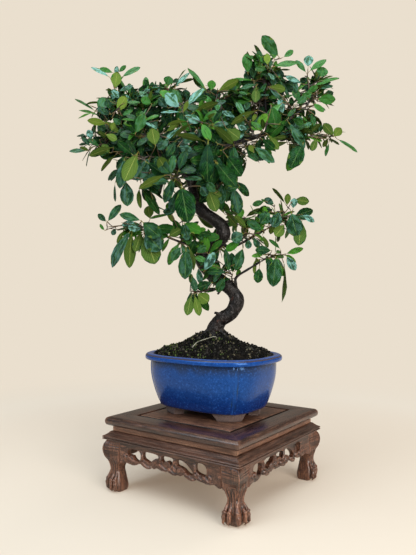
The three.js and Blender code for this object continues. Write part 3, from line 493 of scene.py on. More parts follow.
apron_openings = [
    [(-74.5, 59), (-72.5, 64), (-66, 66.2), (-57, 66), (-51, 63.5), (-49.8, 58), (-51.5, 52.5),
     (-56, 50.2), (-62, 52.5), (-66, 56.5), (-71, 57)],
    [(-46.4, 60), (-45, 64.5), (-38, 66.6), (-27, 66.6), (-19, 65.5), (-17.2, 62.5), (-21, 59.5),
     (-27, 57.5), (-31, 54), (-35, 52.8), (-40, 54.5), (-44.5, 56)],
    [(-12.3, 61), (-11, 65.5), (-4, 66.8), (5, 66.6), (9.6, 64.5), (9.9, 60), (8, 55.6), (4, 56.5),
     (0, 60), (-5, 59.5), (-9.5, 57.5)],
    [(13.8, 62), (15, 65.5), (20, 66.4), (28, 64.5), (35, 60), (41, 54.5), (41.4, 51), (37, 49.8),
     (31, 51.5), (26, 55), (20, 57), (14.5, 58)],
    [(44.9, 61), (46.3, 66), (52, 68), (59, 67.3), (63.4, 63), (63.6, 57), (60.5, 52.6), (55, 53),
     (49, 54.5), (45.6, 56.5)],
]
apron_lobes = [(-70.4, 53.4), (-44.3, 50), (-13.3, 52.4), (2.7, 50.4), (31.6, 48.9), (47.2, 50.9),
               (60.5, 50.2)]
apron_posts = [
    # top and foot of each post's curl
    ((-48.2, 67), (-46.6, 54)), ((-14.8, 67), (-14.2, 56)), ((11.8, 67), (6, 53.5)),
    ((43.2, 67), (45.4, 55)),
]
apron_leaves = [
    # foot and tip, width
    ((-29.5, 49), (-18.4, 61.4), 7), ((13.5, 47), (8, 56.5), 6), ((14.5, 47), (22, 57), 6.5),
    ((-58, 47), (-66, 52), 5), ((52, 49), (47.5, 56.5), 5), ((72, 46), (66.5, 56), 6),
    ((-77, 47), (-79, 58), 6),
]


def fretted(outline, openings, front, back):
    """A board sawn to an outline, with openings through it, between two distances from the
    stand's middle. Outlines hold [x, z]"""
    places = []
    edges = []
    for ring in [outline, *openings]:
        start = len(places)
        places += [Vector(p) for p in ring]
        edges += [(start + k, start + (k + 1) % len(ring)) for k in range(len(ring))]
    flat, _, faces, *_ = delaunay_2d_cdt(places, edges, [], 0, 1e-5)
    kept = []
    for face in faces:
        middle = sum((flat[i] for i in face), Vector((0, 0))) / len(face)
        if inside(middle, outline) and not any(inside(middle, opening) for opening in openings):
            kept.append(tuple(face))
    count = len(flat)
    sides = {}
    for face in kept:
        for k in range(len(face)):
            sides[(face[k], face[(k + 1) % len(face)])] = True
    walls = [(b, a, a + count, b + count) for a, b in sides if (b, a) not in sides]
    points = [(p.x, -front, p.y) for p in flat] + [(p.x, -back, p.y) for p in flat]
    return points, kept + [tuple(i + count for i in reversed(face)) for face in kept] + walls


def inside(place, ring):
    """Whether a place lies inside a ring of places"""
    odd = False
    for (ax, ay), (bx, by) in zip(ring, ring[1:] + ring[:1]):
        crosses = (ay > place[1]) != (by > place[1])
        if crosses and place[0] < ax + (place[1] - ay) / (by - ay) * (bx - ax):
            odd = not odd
    return odd


def smooth_ring(points, steps=4):
    """A closed outline drawn smoothly through its points"""
    count = len(points)
    line = [np.array(points[k % count], float) for k in range(-1, count + 2)]
    ring = []
    for k in range(1, count + 1):
        for step in range(steps):
            w = step / steps
            before, a, b, after = line[k - 1:k + 3]
            t0 = (b - before) / 2
            t1 = (after - a) / 2
            ring.append(tuple(a + t0 * w + (3 * (b - a) - 2 * t0 - t1) * w ** 2
                              + (2 * (a - b) + t0 + t1) * w ** 3))
    return ring


def catmull(points, t):
    """A point on the smooth curve through points, t from 0 to 1 by point"""
    last = len(points) - 1
    k = min(int(math.floor(last * t)), last - 1)
    w = last * t - k
    p1 = points[k]
    p2 = points[k + 1]
    p0 = points[k - 1] if k > 0 else 2 * points[0] - points[1]
    p3 = points[k + 2] if k + 2 <= last else 2 * points[last] - points[last - 1]
    t0 = 0.5 * (p2 - p0)
    t1 = 0.5 * (p3 - p1)
    return p1 + t0 * w + (3 * (p2 - p1) - 2 * t0 - t1) * w ** 2 + (2 * (p1 - p2) + t0 + t1) * w ** 3


def strand(points, widths, depths, outwards=(0, -1, 0), around=12, steps=18):
    """A closed strand with round ends along a curve: so wide across the surface that it lies on,
    and so deep out of it. Widths and depths are given at even places along it."""
    line = [np.array(p, float) for p in points]
    rings = []
    for k in range(steps + 1):
        t = (1 - math.cos(math.pi * k / steps)) / 2
        ahead = catmull(line, min(1, t + 0.01)) - catmull(line, max(0, t - 0.01))
        ahead /= np.linalg.norm(ahead)
        side = np.cross(ahead, outwards)
        side /= np.linalg.norm(side)
        out = np.cross(side, ahead)
        ends = max(0.06, math.sqrt(max(0, 1 - (2 * t - 1) ** 6)))
        at = np.linspace(0, 1, len(widths))
        wide = np.interp(t, at, widths) / 2 * ends
        deep = np.interp(t, at, depths) / 2 * ends
        for i in range(around):
            angle = 2 * math.pi * i / around
            rings.append(catmull(line, t) + side * wide * math.cos(angle)
                         + out * deep * math.sin(angle))
    return rings, loft_faces(steps + 1, around)


def clamped(share):
    """A share kept from 0 to 1"""
    return min(1, max(0, share))


def eased(share):
    """A share from 0 to 1 that starts and ends softly"""
    return share * share * (3 - 2 * share)


def vectors_of(rows, key):
    """A mesh's vectors, such as its points' places, as an array"""
    values = np.empty(len(rows) * 3)
    rows.foreach_get(key, values)
    return values.reshape(-1, 3)


def as_made(piece):
    """The mesh that a piece's modifiers make of it"""
    return bpy.data.meshes.new_from_object(piece.evaluated_get(bpy.context.evaluated_depsgraph_get()))


def one_skin(parts, voxel, passes, keep=1.0):
    """Closed shells grown into one skin and softened, as a carver's gouge and cloth leave them"""
    points = []
    faces = []
    for part_points, part_faces in parts:
        start = len(points)
        points.extend(part_points)
        faces.extend(tuple(start + i for i in face) for face in part_faces)
    mesh = bpy.data.meshes.new("shells")
    mesh.from_pydata((np.array(points, float) * MM).tolist(), [], faces)
    shells = in_scene("shells", mesh)
    grown = shells.modifiers.new("grown", "REMESH")
    grown.mode = "VOXEL"
    grown.voxel_size = voxel * MM
    soft = shells.modifiers.new("soft", "SMOOTH")
    soft.factor = 0.5
    soft.iterations = passes
    if keep < 1:
        fewer = shells.modifiers.new("fewer", "DECIMATE")
        fewer.ratio = keep
    skin = as_made(shells)
    bpy.data.objects.remove(shells)
    places = vectors_of(skin.vertices, "co")
    normals = vectors_of(skin.vertex_normals, "vector")
    faces = [tuple(face.vertices) for face in skin.polygons]
    bpy.data.meshes.remove(skin)
    return places / MM, normals, faces


board_edge = [(max(-apron_half, min(apron_half, x)), z) for x, z in apron_edge]
board_line = [np.array(p, float) for p in board_edge]
board_outline = [tuple(catmull(board_line, k / 160)) for k in range(161)]
board_outline += [(apron_half, apron_top), (-apron_half, apron_top)]
apron_parts = [fretted(board_outline, [smooth_ring(opening) for opening in apron_openings],
                       apron_front - 0.8, apron_back)]
lift = -apron_front + 0.9
for x, z in apron_lobes:
    apron_parts.append(strand(
        [(x - 3.6, lift + 0.8, z + 3.4), (x - 1.2, lift - 0.6, z + 0.6), (x + 3.5, lift - 0.4, z - 2.6),
         (x + 9, lift, z - 4.2), (x + 15.5, lift + 0.8, z - 3.4)],
        [3.4, 6.4, 5.4, 4.2, 2.2], [3, 5.2, 4.4, 3.4, 2]))
    apron_parts.append(strand([(x - 2.2, lift - 1, z + 2.2), (x - 0.2, lift - 1.6, z + 1.5),
                               (x + 1.6, lift - 1, z + 0.2)], [3.2, 4, 3.2], [3.4, 4.2, 3.4], steps=10))
for (top_x, top_z), (foot_x, foot_z) in apron_posts:
    middle = ((top_x + foot_x) / 2 + 0.9, lift - 0.3, (top_z + foot_z) / 2)
    apron_parts.append(strand([(top_x, lift + 0.9, top_z), middle, (foot_x, lift, foot_z)],
                              [4.6, 3.6, 4.6], [3, 4, 4.4]))
for (foot_x, foot_z), (tip_x, tip_z), wide in apron_leaves:
    middle = ((foot_x + tip_x) / 2, lift - 0.5, (foot_z + tip_z) / 2 + 0.5)
    apron_parts.append(strand([(foot_x, lift + 0.6, foot_z), middle, (tip_x, lift + 0.5, tip_z)],
                              [wide * 0.5, wide, wide * 0.4], [2, 3.4, 2]))
apron_points, apron_normals, apron_faces = one_skin(apron_parts, 0.5, 3, 0.3)
cut = []
for place, normal in zip(apron_points, apron_normals):
    x, y, z = place
    tool = 0.10 * noise.noise(Vector(place) * 0.55) + 0.05 * noise.noise(Vector(place) * 1.7)
    facing = max(0, -normal[1])
    if abs(x) < 70 and z < 60:
        strand_line = (x * 0.55 + (z - 50) * 0.95)
        tool += 0.13 * facing * math.cos(2 * math.pi * strand_line / 2.6)
    outer = clamped((abs(x) - 68) / 17)
    cut.append(place + normal * tool - np.array([0, 2.8 * eased(outer), 0]))
carved_woods = [wood("apron_wood_" + grain, grain, "#24120c", "#5f3b2a", "#916550", 0.38, 0.7, 0.2)
                for grain in "XY"]
for quarter, side in enumerate(sides):
    set_down("apron_" + side, made_mesh("apron_" + side, turned(cut, quarter), apron_faces, 180),
             carved_woods[quarter % 2], "stand_wood", "stand_apron_" + side)

# Legs
# Each is cut from one block: a full shoulder with curling hair, a slim fluted ankle, and a paw of
# five toes whose claws reach the ground. The two inner faces stay plain and hollow to the heel.
leg_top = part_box("stand_leg_front_right")[1].z / MM
leg_rows = [
    # height, outer face, inner face, corner rounding
    [0, 109.8, 91.4, 4], [3, 112.0, 90.2, 4.5], [9, 113.2, 89.8, 5], [18, 112.6, 91.2, 5],
    [25, 110.9, 92.4, 4.5], [31, 109.8, 93.6, 3.5], [38, 110.9, 92.6, 3], [44, 113.4, 88.8, 2.2],
    [50, 116.6, 88.6, 1.6], [60, 118.4, 88.2, 1.2], [68, 116.9, 88, 1], [leg_top, 113.4, 87.8, 1],
]


def leg_at(z):
    """Outer face, inner face and corner rounding at a height"""
    heights = [row[0] for row in leg_rows]
    t = np.interp(z, heights, np.linspace(0, 1, len(heights)))
    return catmull([np.array(row[1:], float) for row in leg_rows], float(t))


def leg_ring(z, around=12):
    out, back, rounding = leg_at(z)
    middle = (out + back) / 2
    flat = (out - back) / 2 - rounding
    ring = []
    for corner, (sx, sy) in enumerate([(1, -1), (1, 1), (-1, 1), (-1, -1)]):
        for k in range(around + 1):
            turn = math.pi / 2 * (corner - 1 + k / around)
            ring.append((middle + sx * flat + rounding * math.cos(turn),
                         -middle + sy * flat + rounding * math.sin(turn), z))
    return ring


def on_leg(face, along, z, lift=0.0):
    """A place on an outer face of the leg: 0 the front one, 1 the right one, along it from its
    inner edge at 0 to the outer corner at 1, lifted out of it"""
    out, back, _ = leg_at(z)
    across = back + (out - back) * along
    return (across, -(out + lift), z) if face == 0 else (out + lift, -across, z)


leg_steps = 50
leg_parts = [([p for k in range(leg_steps + 1) for p in leg_ring(leg_top * k / leg_steps)],
              loft_faces(leg_steps + 1, 52))]
face_ways = [(0, -1, 0), (1, 0, 0)]


def on_face(face, places, widths, depths, steps=18):
    """A strand on an outer face of the leg, from [along, height, lift] of its places"""
    leg_parts.append(strand([on_leg(face, *place) for place in places], widths, depths,
                            face_ways[face], steps=steps))


for face in range(2):
    for toe, big in ((0.17, 0.92), (0.50, 1.0)):
        on_face(face, [(toe, 30, -1.4), (toe, 22, 0.6), (toe, 16, 3.0), (toe, 9, 2.5), (toe, 4.2, 1.0)],
                [2.6, 4.0, 6.2 * big, 6.4 * big, 4.6], [3, 4.4, 5.8 * big, 6.0, 4])
        on_face(face, [(toe, 9.5, 3.6), (toe, 5.4, 5.2), (toe, 0.9, 3.6)],
                [3.4, 2.6, 0.9], [3.6, 2.6, 1.0], 12)
        on_face(face, [(toe - 0.13, 16.4, 3.2), (toe, 18.6, 5.0), (toe + 0.13, 16.4, 3.2)],
                [3, 3.4, 3], [3, 3.4, 3], 10)
        on_face(face, [(toe - 0.13, 11.0, 3.0), (toe, 12.8, 4.9), (toe + 0.13, 11.0, 3.0)],
                [2.4, 2.8, 2.4], [2.6, 3, 2.6], 10)
    for flute in (0.2, 0.42, 0.64, 0.84):
        on_face(face, [(flute * 0.8 + 0.1, 52, -0.9), (flute, 42, 0.1), (flute, 33, 0.3),
                       (flute * 0.9 + 0.05, 23, 0)], [1.0, 2.2, 2.5, 2.2], [1.2, 2.3, 2.8, 2.2])
corner_way = (math.sqrt(0.5), -math.sqrt(0.5), 0)


def on_corner(z, lift):
    out, _, rounding = leg_at(z)
    reach = out - rounding + (rounding + lift) * math.sqrt(0.5)
    return (reach, -reach, z)


leg_parts.append(strand([on_corner(32, -0.8), on_corner(24, 0), on_corner(16.5, 1.2), on_corner(9, 0.9),
                         on_corner(4.2, -0.6)], [4, 5.2, 7.6, 7.2, 5], [4, 4.6, 6, 5.8, 4], corner_way))
leg_parts.append(strand([on_corner(9.5, 1.6), on_corner(5.2, 2.4), on_corner(0.9, 1.0)],
                        [3.6, 2.8, 0.9], [3.8, 2.8, 1.0], corner_way, steps=12))
for z in (18.2, 13):
    side_ways = np.array([(-0.71, -0.71, 0), (0.71, 0.71, 0)]) * 2.6
    low_place = np.array(on_corner(z - 1.6, 2))
    leg_parts.append(strand([low_place + side_ways[0], on_corner(z, 3.1), low_place + side_ways[1]],
                            [3, 3.4, 3], [2.8, 3.2, 2.8], corner_way, steps=10))
leg_points, leg_normals, leg_faces = one_skin(leg_parts, 0.5, 2, 0.45)
hair_centre = (-0.15, 50)
flush_out = apron_front + 2.3
ridge_from_corner = 2.2
carved_leg = []
for place, normal in zip(leg_points, leg_normals):
    x, y, z = place
    out, back, _ = leg_at(min(max(z, 0), leg_top))
    depth = 0.08 * noise.noise(Vector(place) * 0.6) + 0.05 * noise.noise(Vector(place) * 1.9)
    for face, looks, across in ((0, -normal[1], x), (1, normal[0], -y)):
        along = (across - back) / (out - back)
        if looks > 0.5 and z > 38:
            faded = clamped((z - 38) / 8) * clamped((leg_top - 2 - z) / 4)
            clear_cut = (looks - 0.5) * 2 * faded
            du = (along - hair_centre[0]) * (out - back)
            reach = math.hypot(du, (z - hair_centre[1]) * 0.9)
            reach += 0.5 * noise.noise((x * 0.3, y * 0.3, z * 0.3))
            hairs = max(0, math.cos(2 * math.pi * reach / 3.1)) ** 2
            from_corner_line = abs(out - across - ridge_from_corner)
            if from_corner_line > 1.6 and out - across > ridge_from_corner:
                depth -= 0.8 * hairs * clear_cut * clamped((reach - 9) / 4)
            depth -= 0.8 * math.exp(-(from_corner_line / 0.5) ** 2) * clear_cut
    if z < 0.8:
        depth = 0
    risen = eased(clamped((z - 42) / 7))
    drawn = []
    for across, deep in ((x, -y), (-y, x)):
        inner = eased(clamped(1 - (across - back) / (out - back) / 0.62))
        share = clamped((deep - back) / (out - back))
        drawn.append((out - flush_out) * inner * share * risen)
    carved_leg.append(place + normal * depth + np.array([-drawn[1], drawn[0], 0]))
carved_leg = np.array(carved_leg)
carved_leg[:, 2] = np.clip(carved_leg[:, 2], 0, leg_top)
leg_wood = wood("leg_wood", "Z", "#28150e", "#653f2e", "#92664e", 0.38, 0.7, 0.2)
for quarter, corner in enumerate(["front_right", "back_right", "back_left", "front_left"]):
    set_down("leg_" + corner, made_mesh("leg_" + corner, turned(carved_leg, quarter), leg_faces, 180),
             leg_wood, "stand_wood", "stand_leg_" + corner)

# Pot
# One piece of pressed stoneware: bulging sides, a rounded rib at each corner, a rolled lip, and
# four bracket feet left bare. The blue glaze ran in the fire: it broke brown on the lip's edge,
# pooled navy low down and stained the grooves beside the ribs.
pot_low, pot_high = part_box("pot")
pot_centre = (pot_low + pot_high) / 2
pot_x, pot_y, _ = (np.array(pot_centre) - stand_place) / MM
pot_half_x = (pot_high.x - pot_low.x) / 2 / MM
pot_half_y = (pot_high.y - pot_low.y) / 2 / MM
pot_top = pot_high.z / MM
pot_floor = board_top + 10.2
pot_rows = [
    # inset from the lip, roundness of the plan, height, strength of the rib
    [28.5, 3.5, pot_floor + 1.4, 0], [26.2, 3.5, pot_floor + 1.8, 0.1], [24.4, 3.5, pot_floor + 3.6, 0.4],
    [22.6, 3.45, 123.8, 0.8], [20.0, 3.4, 130, 1], [16.3, 3.3, 140, 1], [12.5, 3.2, 153, 1],
    [9.9, 3.1, 165, 1], [8.6, 3.0, 177, 1], [8.3, 2.95, 183.5, 0.8], [8.4, 2.9, 186.6, 0.3],
    [7.7, 2.9, 187.5, 0], [5.0, 2.9, 187.4, 0], [2.2, 2.9, 187.5, 0], [0.6, 2.9, 188.4, 0],
    [0, 2.9, 190.2, 0], [0.1, 2.9, 192.4, 0], [0.8, 2.9, 194.4, 0], [2.6, 2.9, pot_top - 0.8, 0],
    [5.4, 2.9, pot_top, 0], [8.6, 2.9, pot_top - 0.2, 0], [11.2, 2.9, pot_top - 1.4, 0],
    [12.4, 2.9, pot_top - 4, 0], [12.8, 2.95, 187, 0], [14.2, 3.0, 174, 0], [16.8, 3.1, 160, 0],
    [24, 3.3, 136, 0], [34, 3.4, pot_floor + 6.5, 0],
]
rib_angle = 40
pot_quarter = np.concatenate([np.linspace(0, rib_angle - 9, 16)[:-1],
                              np.linspace(rib_angle - 9, rib_angle + 9, 35)[:-1],
                              np.linspace(rib_angle + 9, 90, 20)])
pot_half_turn = np.concatenate([pot_quarter[:-1], 180 - pot_quarter[:0:-1]])
pot_angles = np.radians(np.concatenate([pot_half_turn, pot_half_turn + 180]))
pot_steps = 100


def pot_plan(inset, power, angles):
    """The pot's outline in plan, drawn in from the lip's"""
    c = np.cos(angles)
    s = np.sin(angles)
    return np.column_stack([(pot_half_x - inset) * np.sign(c) * np.abs(c) ** (2 / power),
                            (pot_half_y - inset) * np.sign(s) * np.abs(s) ** (2 / power)])


def from_rib_line(angles):
    """How many degrees an angle lies from the nearest rib's"""
    return np.abs(np.degrees(np.arctan2(np.abs(np.sin(angles)), np.abs(np.cos(angles)))) - rib_angle)


def rib_push(angles, strength, z):
    """How far the rib and its two grooves stand out of the side, with the flared foot below it"""
    off = from_rib_line(angles)
    rib = 0.5 * np.exp(-(off / 1.7) ** 2) - 0.8 * np.exp(-((off - 2.9) / 1.2) ** 2)
    flare = 1.5 * np.exp(-(off / 4.2) ** 2) * np.clip((122.5 - z) / 4, 0, 1)
    return strength * rib + flare * (strength > 0.05)


def pot_ring(inset, power, z, strength, wobble=0.25):
    plan = pot_plan(inset, power, pot_angles)
    reach = np.linalg.norm(plan, axis=1)
    push = rib_push(pot_angles, strength, z)
    push = push + [wobble * noise.noise((x * 0.02, y * 0.02, z * 0.03)) for x, y in plan]
    plan = plan * (1 + push / reach)[:, None]
    return np.column_stack([plan[:, 0] + pot_x, plan[:, 1] + pot_y, np.full(len(plan), z)])


pot_curve = [np.array(row, float) for row in pot_rows]
pot_points = np.concatenate([pot_ring(*catmull(pot_curve, k / pot_steps))
                             for k in range(pot_steps + 1)])
pot_mesh = made_mesh("pot", pot_points, loft_faces(pot_steps + 1, len(pot_angles)), 50)


def foot_parts(turn):
    """A bracket foot under a corner: its ends draw in with a double curve towards the ground"""
    along = (6.5, 75.5) if turn % 180 == 0 else (14.5, 79.5)
    rows = 10
    points = []
    for row in range(rows + 1):
        up = row / rows
        z = board_top + 0.3 + (pot_floor + 2.6 - board_top - 0.3) * up
        draw_in = 6.8 * (1 - eased(up))
        inset = 33 - 3.4 * up ** 0.7 + 0.5 * math.exp(-row)
        depth = 13 + 5 * up
        spread = np.radians(np.linspace(turn + along[0] + draw_in, turn + along[1] - draw_in, 15))
        outer = pot_plan(inset, 3.5, spread)
        inner = pot_plan(inset + depth, 3.5, spread)[::-1]
        points += [(x + pot_x, y + pot_y, z) for x, y in np.concatenate([outer, inner])]
    return points, loft_faces(rows + 1, 30)


def joined_or_cut(piece, other_mesh, operation):
    """One closed body added to another, or cut out of it"""
    other = in_scene("other", other_mesh)
    join = piece.modifiers.new("join", "BOOLEAN")
    join.operation = operation
    join.solver = "MANIFOLD"
    join.object = other
    mesh = as_made(piece)
    piece.modifiers.clear()
    piece.data = mesh
    bpy.data.objects.remove(other)


pot_work = in_scene("pot_work", pot_mesh)
for turn in (0, 90, 180, 270):
    joined_or_cut(pot_work, made_mesh("foot", *foot_parts(turn), 50), "UNION")
drain_spacing = 62
for way in (-1, 1):
    ring = [(9 * math.cos(math.pi * k / 16) + pot_x + way * drain_spacing / 2,
             9 * math.sin(math.pi * k / 16) + pot_y) for k in range(32)]
    drill = [(x, y, z) for z in (pot_floor - 12, pot_floor + 18) for x, y in ring]
    joined_or_cut(pot_work, made_mesh("drill", drill, loft_faces(2, 32)), "DIFFERENCE")
pot_mesh = pot_work.data
bpy.data.objects.remove(pot_work)
pot_mesh.shade_smooth()
pot_mesh.set_sharp_from_angle(angle=math.radians(42))

wall_x, wall_y, wall_z = ((vectors_of(pot_mesh.vertices, "co") - stand_place) / MM).T
plan_angle = np.arctan2(np.abs((wall_y - pot_y) / pot_half_y) ** 1.6,
                        np.abs((wall_x - pot_x) / pot_half_x) ** 1.6)
off = np.abs(np.degrees(plan_angle) - rib_angle)
rib_top = 182
groove = np.exp(-((off - 2.9) / 1.3) ** 2) * (wall_z < rib_top) * (wall_z > pot_floor)
rib = np.exp(-(off / 1.3) ** 2) * (wall_z < rib_top)


def plus(a, b):
    return maths("ADD", a, b)


def attribute(mesh, name, kind, values, domain="POINT"):
    """Values given to a mesh, one for each point, face or corner"""
    made = mesh.attributes.new(name, kind, domain)
    made.data.foreach_set("vector" if kind in ("FLOAT_VECTOR", "FLOAT2") else "value",
                          np.ravel(values))


attribute(pot_mesh, "groove", "FLOAT", groove.astype(np.float32))
attribute(pot_mesh, "rib", "FLOAT", rib.astype(np.float32))


def read_attribute(name):
    return node("ShaderNodeAttribute", attribute_name=name).outputs["Fac"]


glaze = bare_material("blue_glaze")
place = object_coordinates()
height = node("ShaderNodeSeparateXYZ", {0: place}).outputs["Z"]
cloud = noise_texture(place, 26, 4, 0.6)
mottle = noise_texture(place, 330, 4, 0.7)
grit = noise_texture(place, 1300, 3, 0.7)
runs = noise_texture(stretched(place, (1, 1, 0.12)), 130, 3, 0.6)
uneven = plus(height, times(minus(cloud, 0.5), 0.030))
body = blended(between(uneven, 0.122, 0.154), "#09255f", "#14376f")
body = stained(body, "#23262d", uneven, 0.170, 0.186, 0.75)
# painted shadow: a dark navy band under the lip's roll
body = stained(body, "#0a1a3c", height, 0.1862, 0.1872)
body = stained(body, "#0f3674", height, 0.1880, 0.1892)
body = stained(body, "#2f5fae", mottle, 0.52, 0.68, 0.42)
body = stained(body, "#071b45", mottle, 0.46, 0.32, 0.6)
body = stained(body, "#6f90c8", grit, 0.64, 0.74, 0.28)
stain = times(read_attribute("groove"), between(runs, 0.46, 0.56))
body = blended(times(stain, 0.8), body, "#1b2a2c")
crest = times(read_attribute("rib"), between(runs, 0.7, 0.45))
body = blended(times(crest, 0.22), body, "#2a5ca4")
edge_wave = plus(height, times(minus(cloud, 0.5), 0.0015))
body = stained(body, "#3a4c7c", edge_wave, 0.1958, 0.1966, 0.7)
broken = times(between(edge_wave, 0.1936, 0.1943), between(edge_wave, 0.1960, 0.1954))
body = blended(times(broken, 0.9), body, "#3a302c")
pit_place = noise_texture(place, 420, 1, 0.4)
pinhole = between(pit_place, 0.775, 0.80)
body = blended(pinhole, body, "#241c14")
clay = blended(between(grit, 0.4, 0.62), "#4a3b34", "#6e5c51")
glaze_edge = plus(height, times(minus(cloud, 0.5), 0.0014))
glazed = between(glaze_edge, pot_floor * MM + 0.0018, pot_floor * MM + 0.0025)
skin_colour = blended(glazed, clay, body)
rough = ranged(glazed, 0.72, 0.13)
rough = plus(rough, times(mottle, 0.10))
surface = minus(times(cloud, 0.6), plus(times(grit, 0.05), pinhole))
bump = bumped(surface, 0.5, 0.0004)
surfaced(coated(skin_colour, rough, bump, {
    "Specular IOR Level": 0.5, "Specular Tint": (0.22, 0.48, 1.0, 1)}))
set_down("pot", pot_mesh, glaze, "blue_glaze", "pot")

# Drain meshes
# Two squares of stiff plastic net, cut from a sheet and laid over the drain holes inside the pot
# before it is filled. Soil covers them, and they show only through the holes from below.


def new_tree(name, inputs):
    """A node tree for shapes, with its named inputs: name, kind of socket, value"""
    global tree
    tree = bpy.data.node_groups.new(name, "GeometryNodeTree")
    tree.interface.new_socket("Geometry", in_out="OUTPUT", socket_type="NodeSocketGeometry")
    tree.interface.new_socket("Geometry", in_out="INPUT", socket_type="NodeSocketGeometry")
    for label, kind, value in inputs:
        socket = tree.interface.new_socket(label, in_out="INPUT", socket_type="NodeSocket" + kind)
        if value is not None:
            socket.default_value = value
    return tree, tree.nodes.new("NodeGroupInput").outputs


def grown_by(tree, name, mesh, values):
    """What a tree makes of a mesh, as a plain mesh. Values are given by the inputs' names"""
    start = bpy.data.objects.new(name, mesh)
    modifier = start.modifiers.new(tree.name, "NODES")
    modifier.node_group = tree
    for item in tree.interface.items_tree:
        if item.in_out == "INPUT" and item.name in values:
            modifier[item.identifier] = values[item.name]
    scene.collection.objects.link(start)
    made = as_made(start)
    start.modifiers.clear()
    bpy.data.objects.remove(start)
    return made


net_tree, given = new_tree("plastic_net", [
    ("Size", "Float", 0.026), ("Holes", "Int", 9), ("Bar", "Float", 0.0008),
    ("Plastic", "Material", None)])
bars = plus(given["Holes"], 1.0)
net_grid = output("GeometryNodeMeshGrid", {
    "Size X": given["Size"], "Size Y": given["Size"], "Vertices X": bars, "Vertices Y": bars})
net_lines = output("GeometryNodeMeshToCurve", {0: net_grid})
net_section = output("GeometryNodeCurvePrimitiveQuadrilateral", {0: given["Bar"], 1: given["Bar"]})
net_bars = output("GeometryNodeCurveToMesh", {
    "Curve": net_lines, "Profile Curve": net_section, "Fill Caps": True})
net_place = output("GeometryNodeInstanceOnPoints", {
    "Points": given["Geometry"], "Instance": net_bars})
net_real = output("GeometryNodeRealizeInstances", {0: net_place})
net_done = output("GeometryNodeSetMaterial", {"Geometry": net_real, "Material": given["Plastic"]})
node("NodeGroupOutput", {0: net_done})

net_plastic = bare_material("net_plastic")
scuffs = noise_texture(object_coordinates(), 700, 3)
net_colour = blended(scuffs, "#262623", "#4c4b46")
surfaced(coated(net_colour, 0.6))
for side in ("left", "right"):
    low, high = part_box("drain_mesh_" + side)
    spot = bpy.data.meshes.new("spot")
    spot.from_pydata([(low + high) / 2], [], [])
    net = grown_by(net_tree, "net", spot, {
        "Size": high.x - low.x - 0.0008, "Holes": 9, "Bar": 0.0008, "Plastic": net_plastic})
    set_down("drain_mesh_" + side + "_net", net, net_plastic, "drain_mesh", "drain_mesh_" + side)

# Soil
# A dark, crumbly mix heaped up to the trunk, with crumbs of all sizes strewn on it, and moss and
# weed in yellow-green tufts, mostly on the left.
soil_around = 132
mound = [
    # share of the way out to the pot's wall, height
    [0, 228.5], [0.16, 228], [0.3, 222], [0.46, 213.5], [0.62, 207.5], [0.78, 203.8], [0.9, 200.4],
    [0.97, 197.2], [1.0, 194.5],
]
mound_steps = 44


def mound_height(share):
    return float(np.interp(share, [row[0] for row in mound], [row[1] for row in mound]))


def soil_place(share, angle):
    """A place on the lumpy top of the mound"""
    x, y = pot_plan(13.6, 2.9, np.array([angle]))[0] * share
    lump = 1.2 + 2.2 * noise.noise((x * 0.11, y * 0.11, 3)) + 2.4 * noise.noise((x * 0.29, y * 0.29, 8))
    lump += 1.1 * noise.noise((x * 0.7, y * 0.7, 15))
    return (x + pot_x, y + pot_y, mound_height(share) + lump * min(1, (1.03 - share) * 12))


soil_rows = []
for inset, power, z in ([34.6, 3.4, pot_floor + 9.2], [17.2, 3.1, 161], [13.9, 2.95, 188]):
    plan = pot_plan(inset, power, np.linspace(0, 2 * math.pi, soil_around, endpoint=False))
    soil_rows += [(x + pot_x, y + pot_y, z) for x, y in plan]
for k in range(mound_steps):
    share = 1 - k / mound_steps
    soil_rows += [soil_place(share, 2 * math.pi * i / soil_around) for i in range(soil_around)]
soil_mesh = made_mesh("soil", soil_rows, loft_faces(3 + mound_steps, soil_around), 180)

earth = bare_material("earth")
place = object_coordinates()
crumb = noise_texture(place, 380, 4, 0.7)
damp = noise_texture(place, 60, 3, 0.6)
earth_colour = blended(between(crumb, 0.35, 0.7), "#060606", "#100f0e")
earth_colour = stained(earth_colour, "#2b231a", damp, 0.5, 0.72, 0.5)
film = times(between(noise_texture(place, 120, 4, 0.7), 0.56, 0.68),
             times(read_attribute("moss"), 0.85))
earth_colour = blended(film, earth_colour, "#3f4d22")
earth_bump = bumped(crumb, 0.8, 0.0012)
surfaced(coated(earth_colour, 0.88, earth_bump, {"Specular IOR Level": 0.04}))


def shape_library(name, meshes):
    """A collection of small shapes for a tree to pick from, outside the scene"""
    library = bpy.data.collections.new(name)
    for k, mesh in enumerate(meshes):
        library.objects.link(bpy.data.objects.new(f"{name}_{k:02d}", mesh))
    return library


def crumb_shape(seed):
    """A grain of soil, about 1 m across before it is scaled"""
    work = bmesh.new()
    bmesh.ops.create_icosphere(work, subdivisions=1, radius=0.5)
    for vertex in work.verts:
        vertex.co *= 0.8 + 0.5 * noise.noise(vertex.co * 2.3 + Vector((seed * 5, 0, 0)))
        vertex.co.z *= 0.75
    mesh = bpy.data.meshes.new("crumb")
    work.to_mesh(mesh)
    work.free()
    return mesh


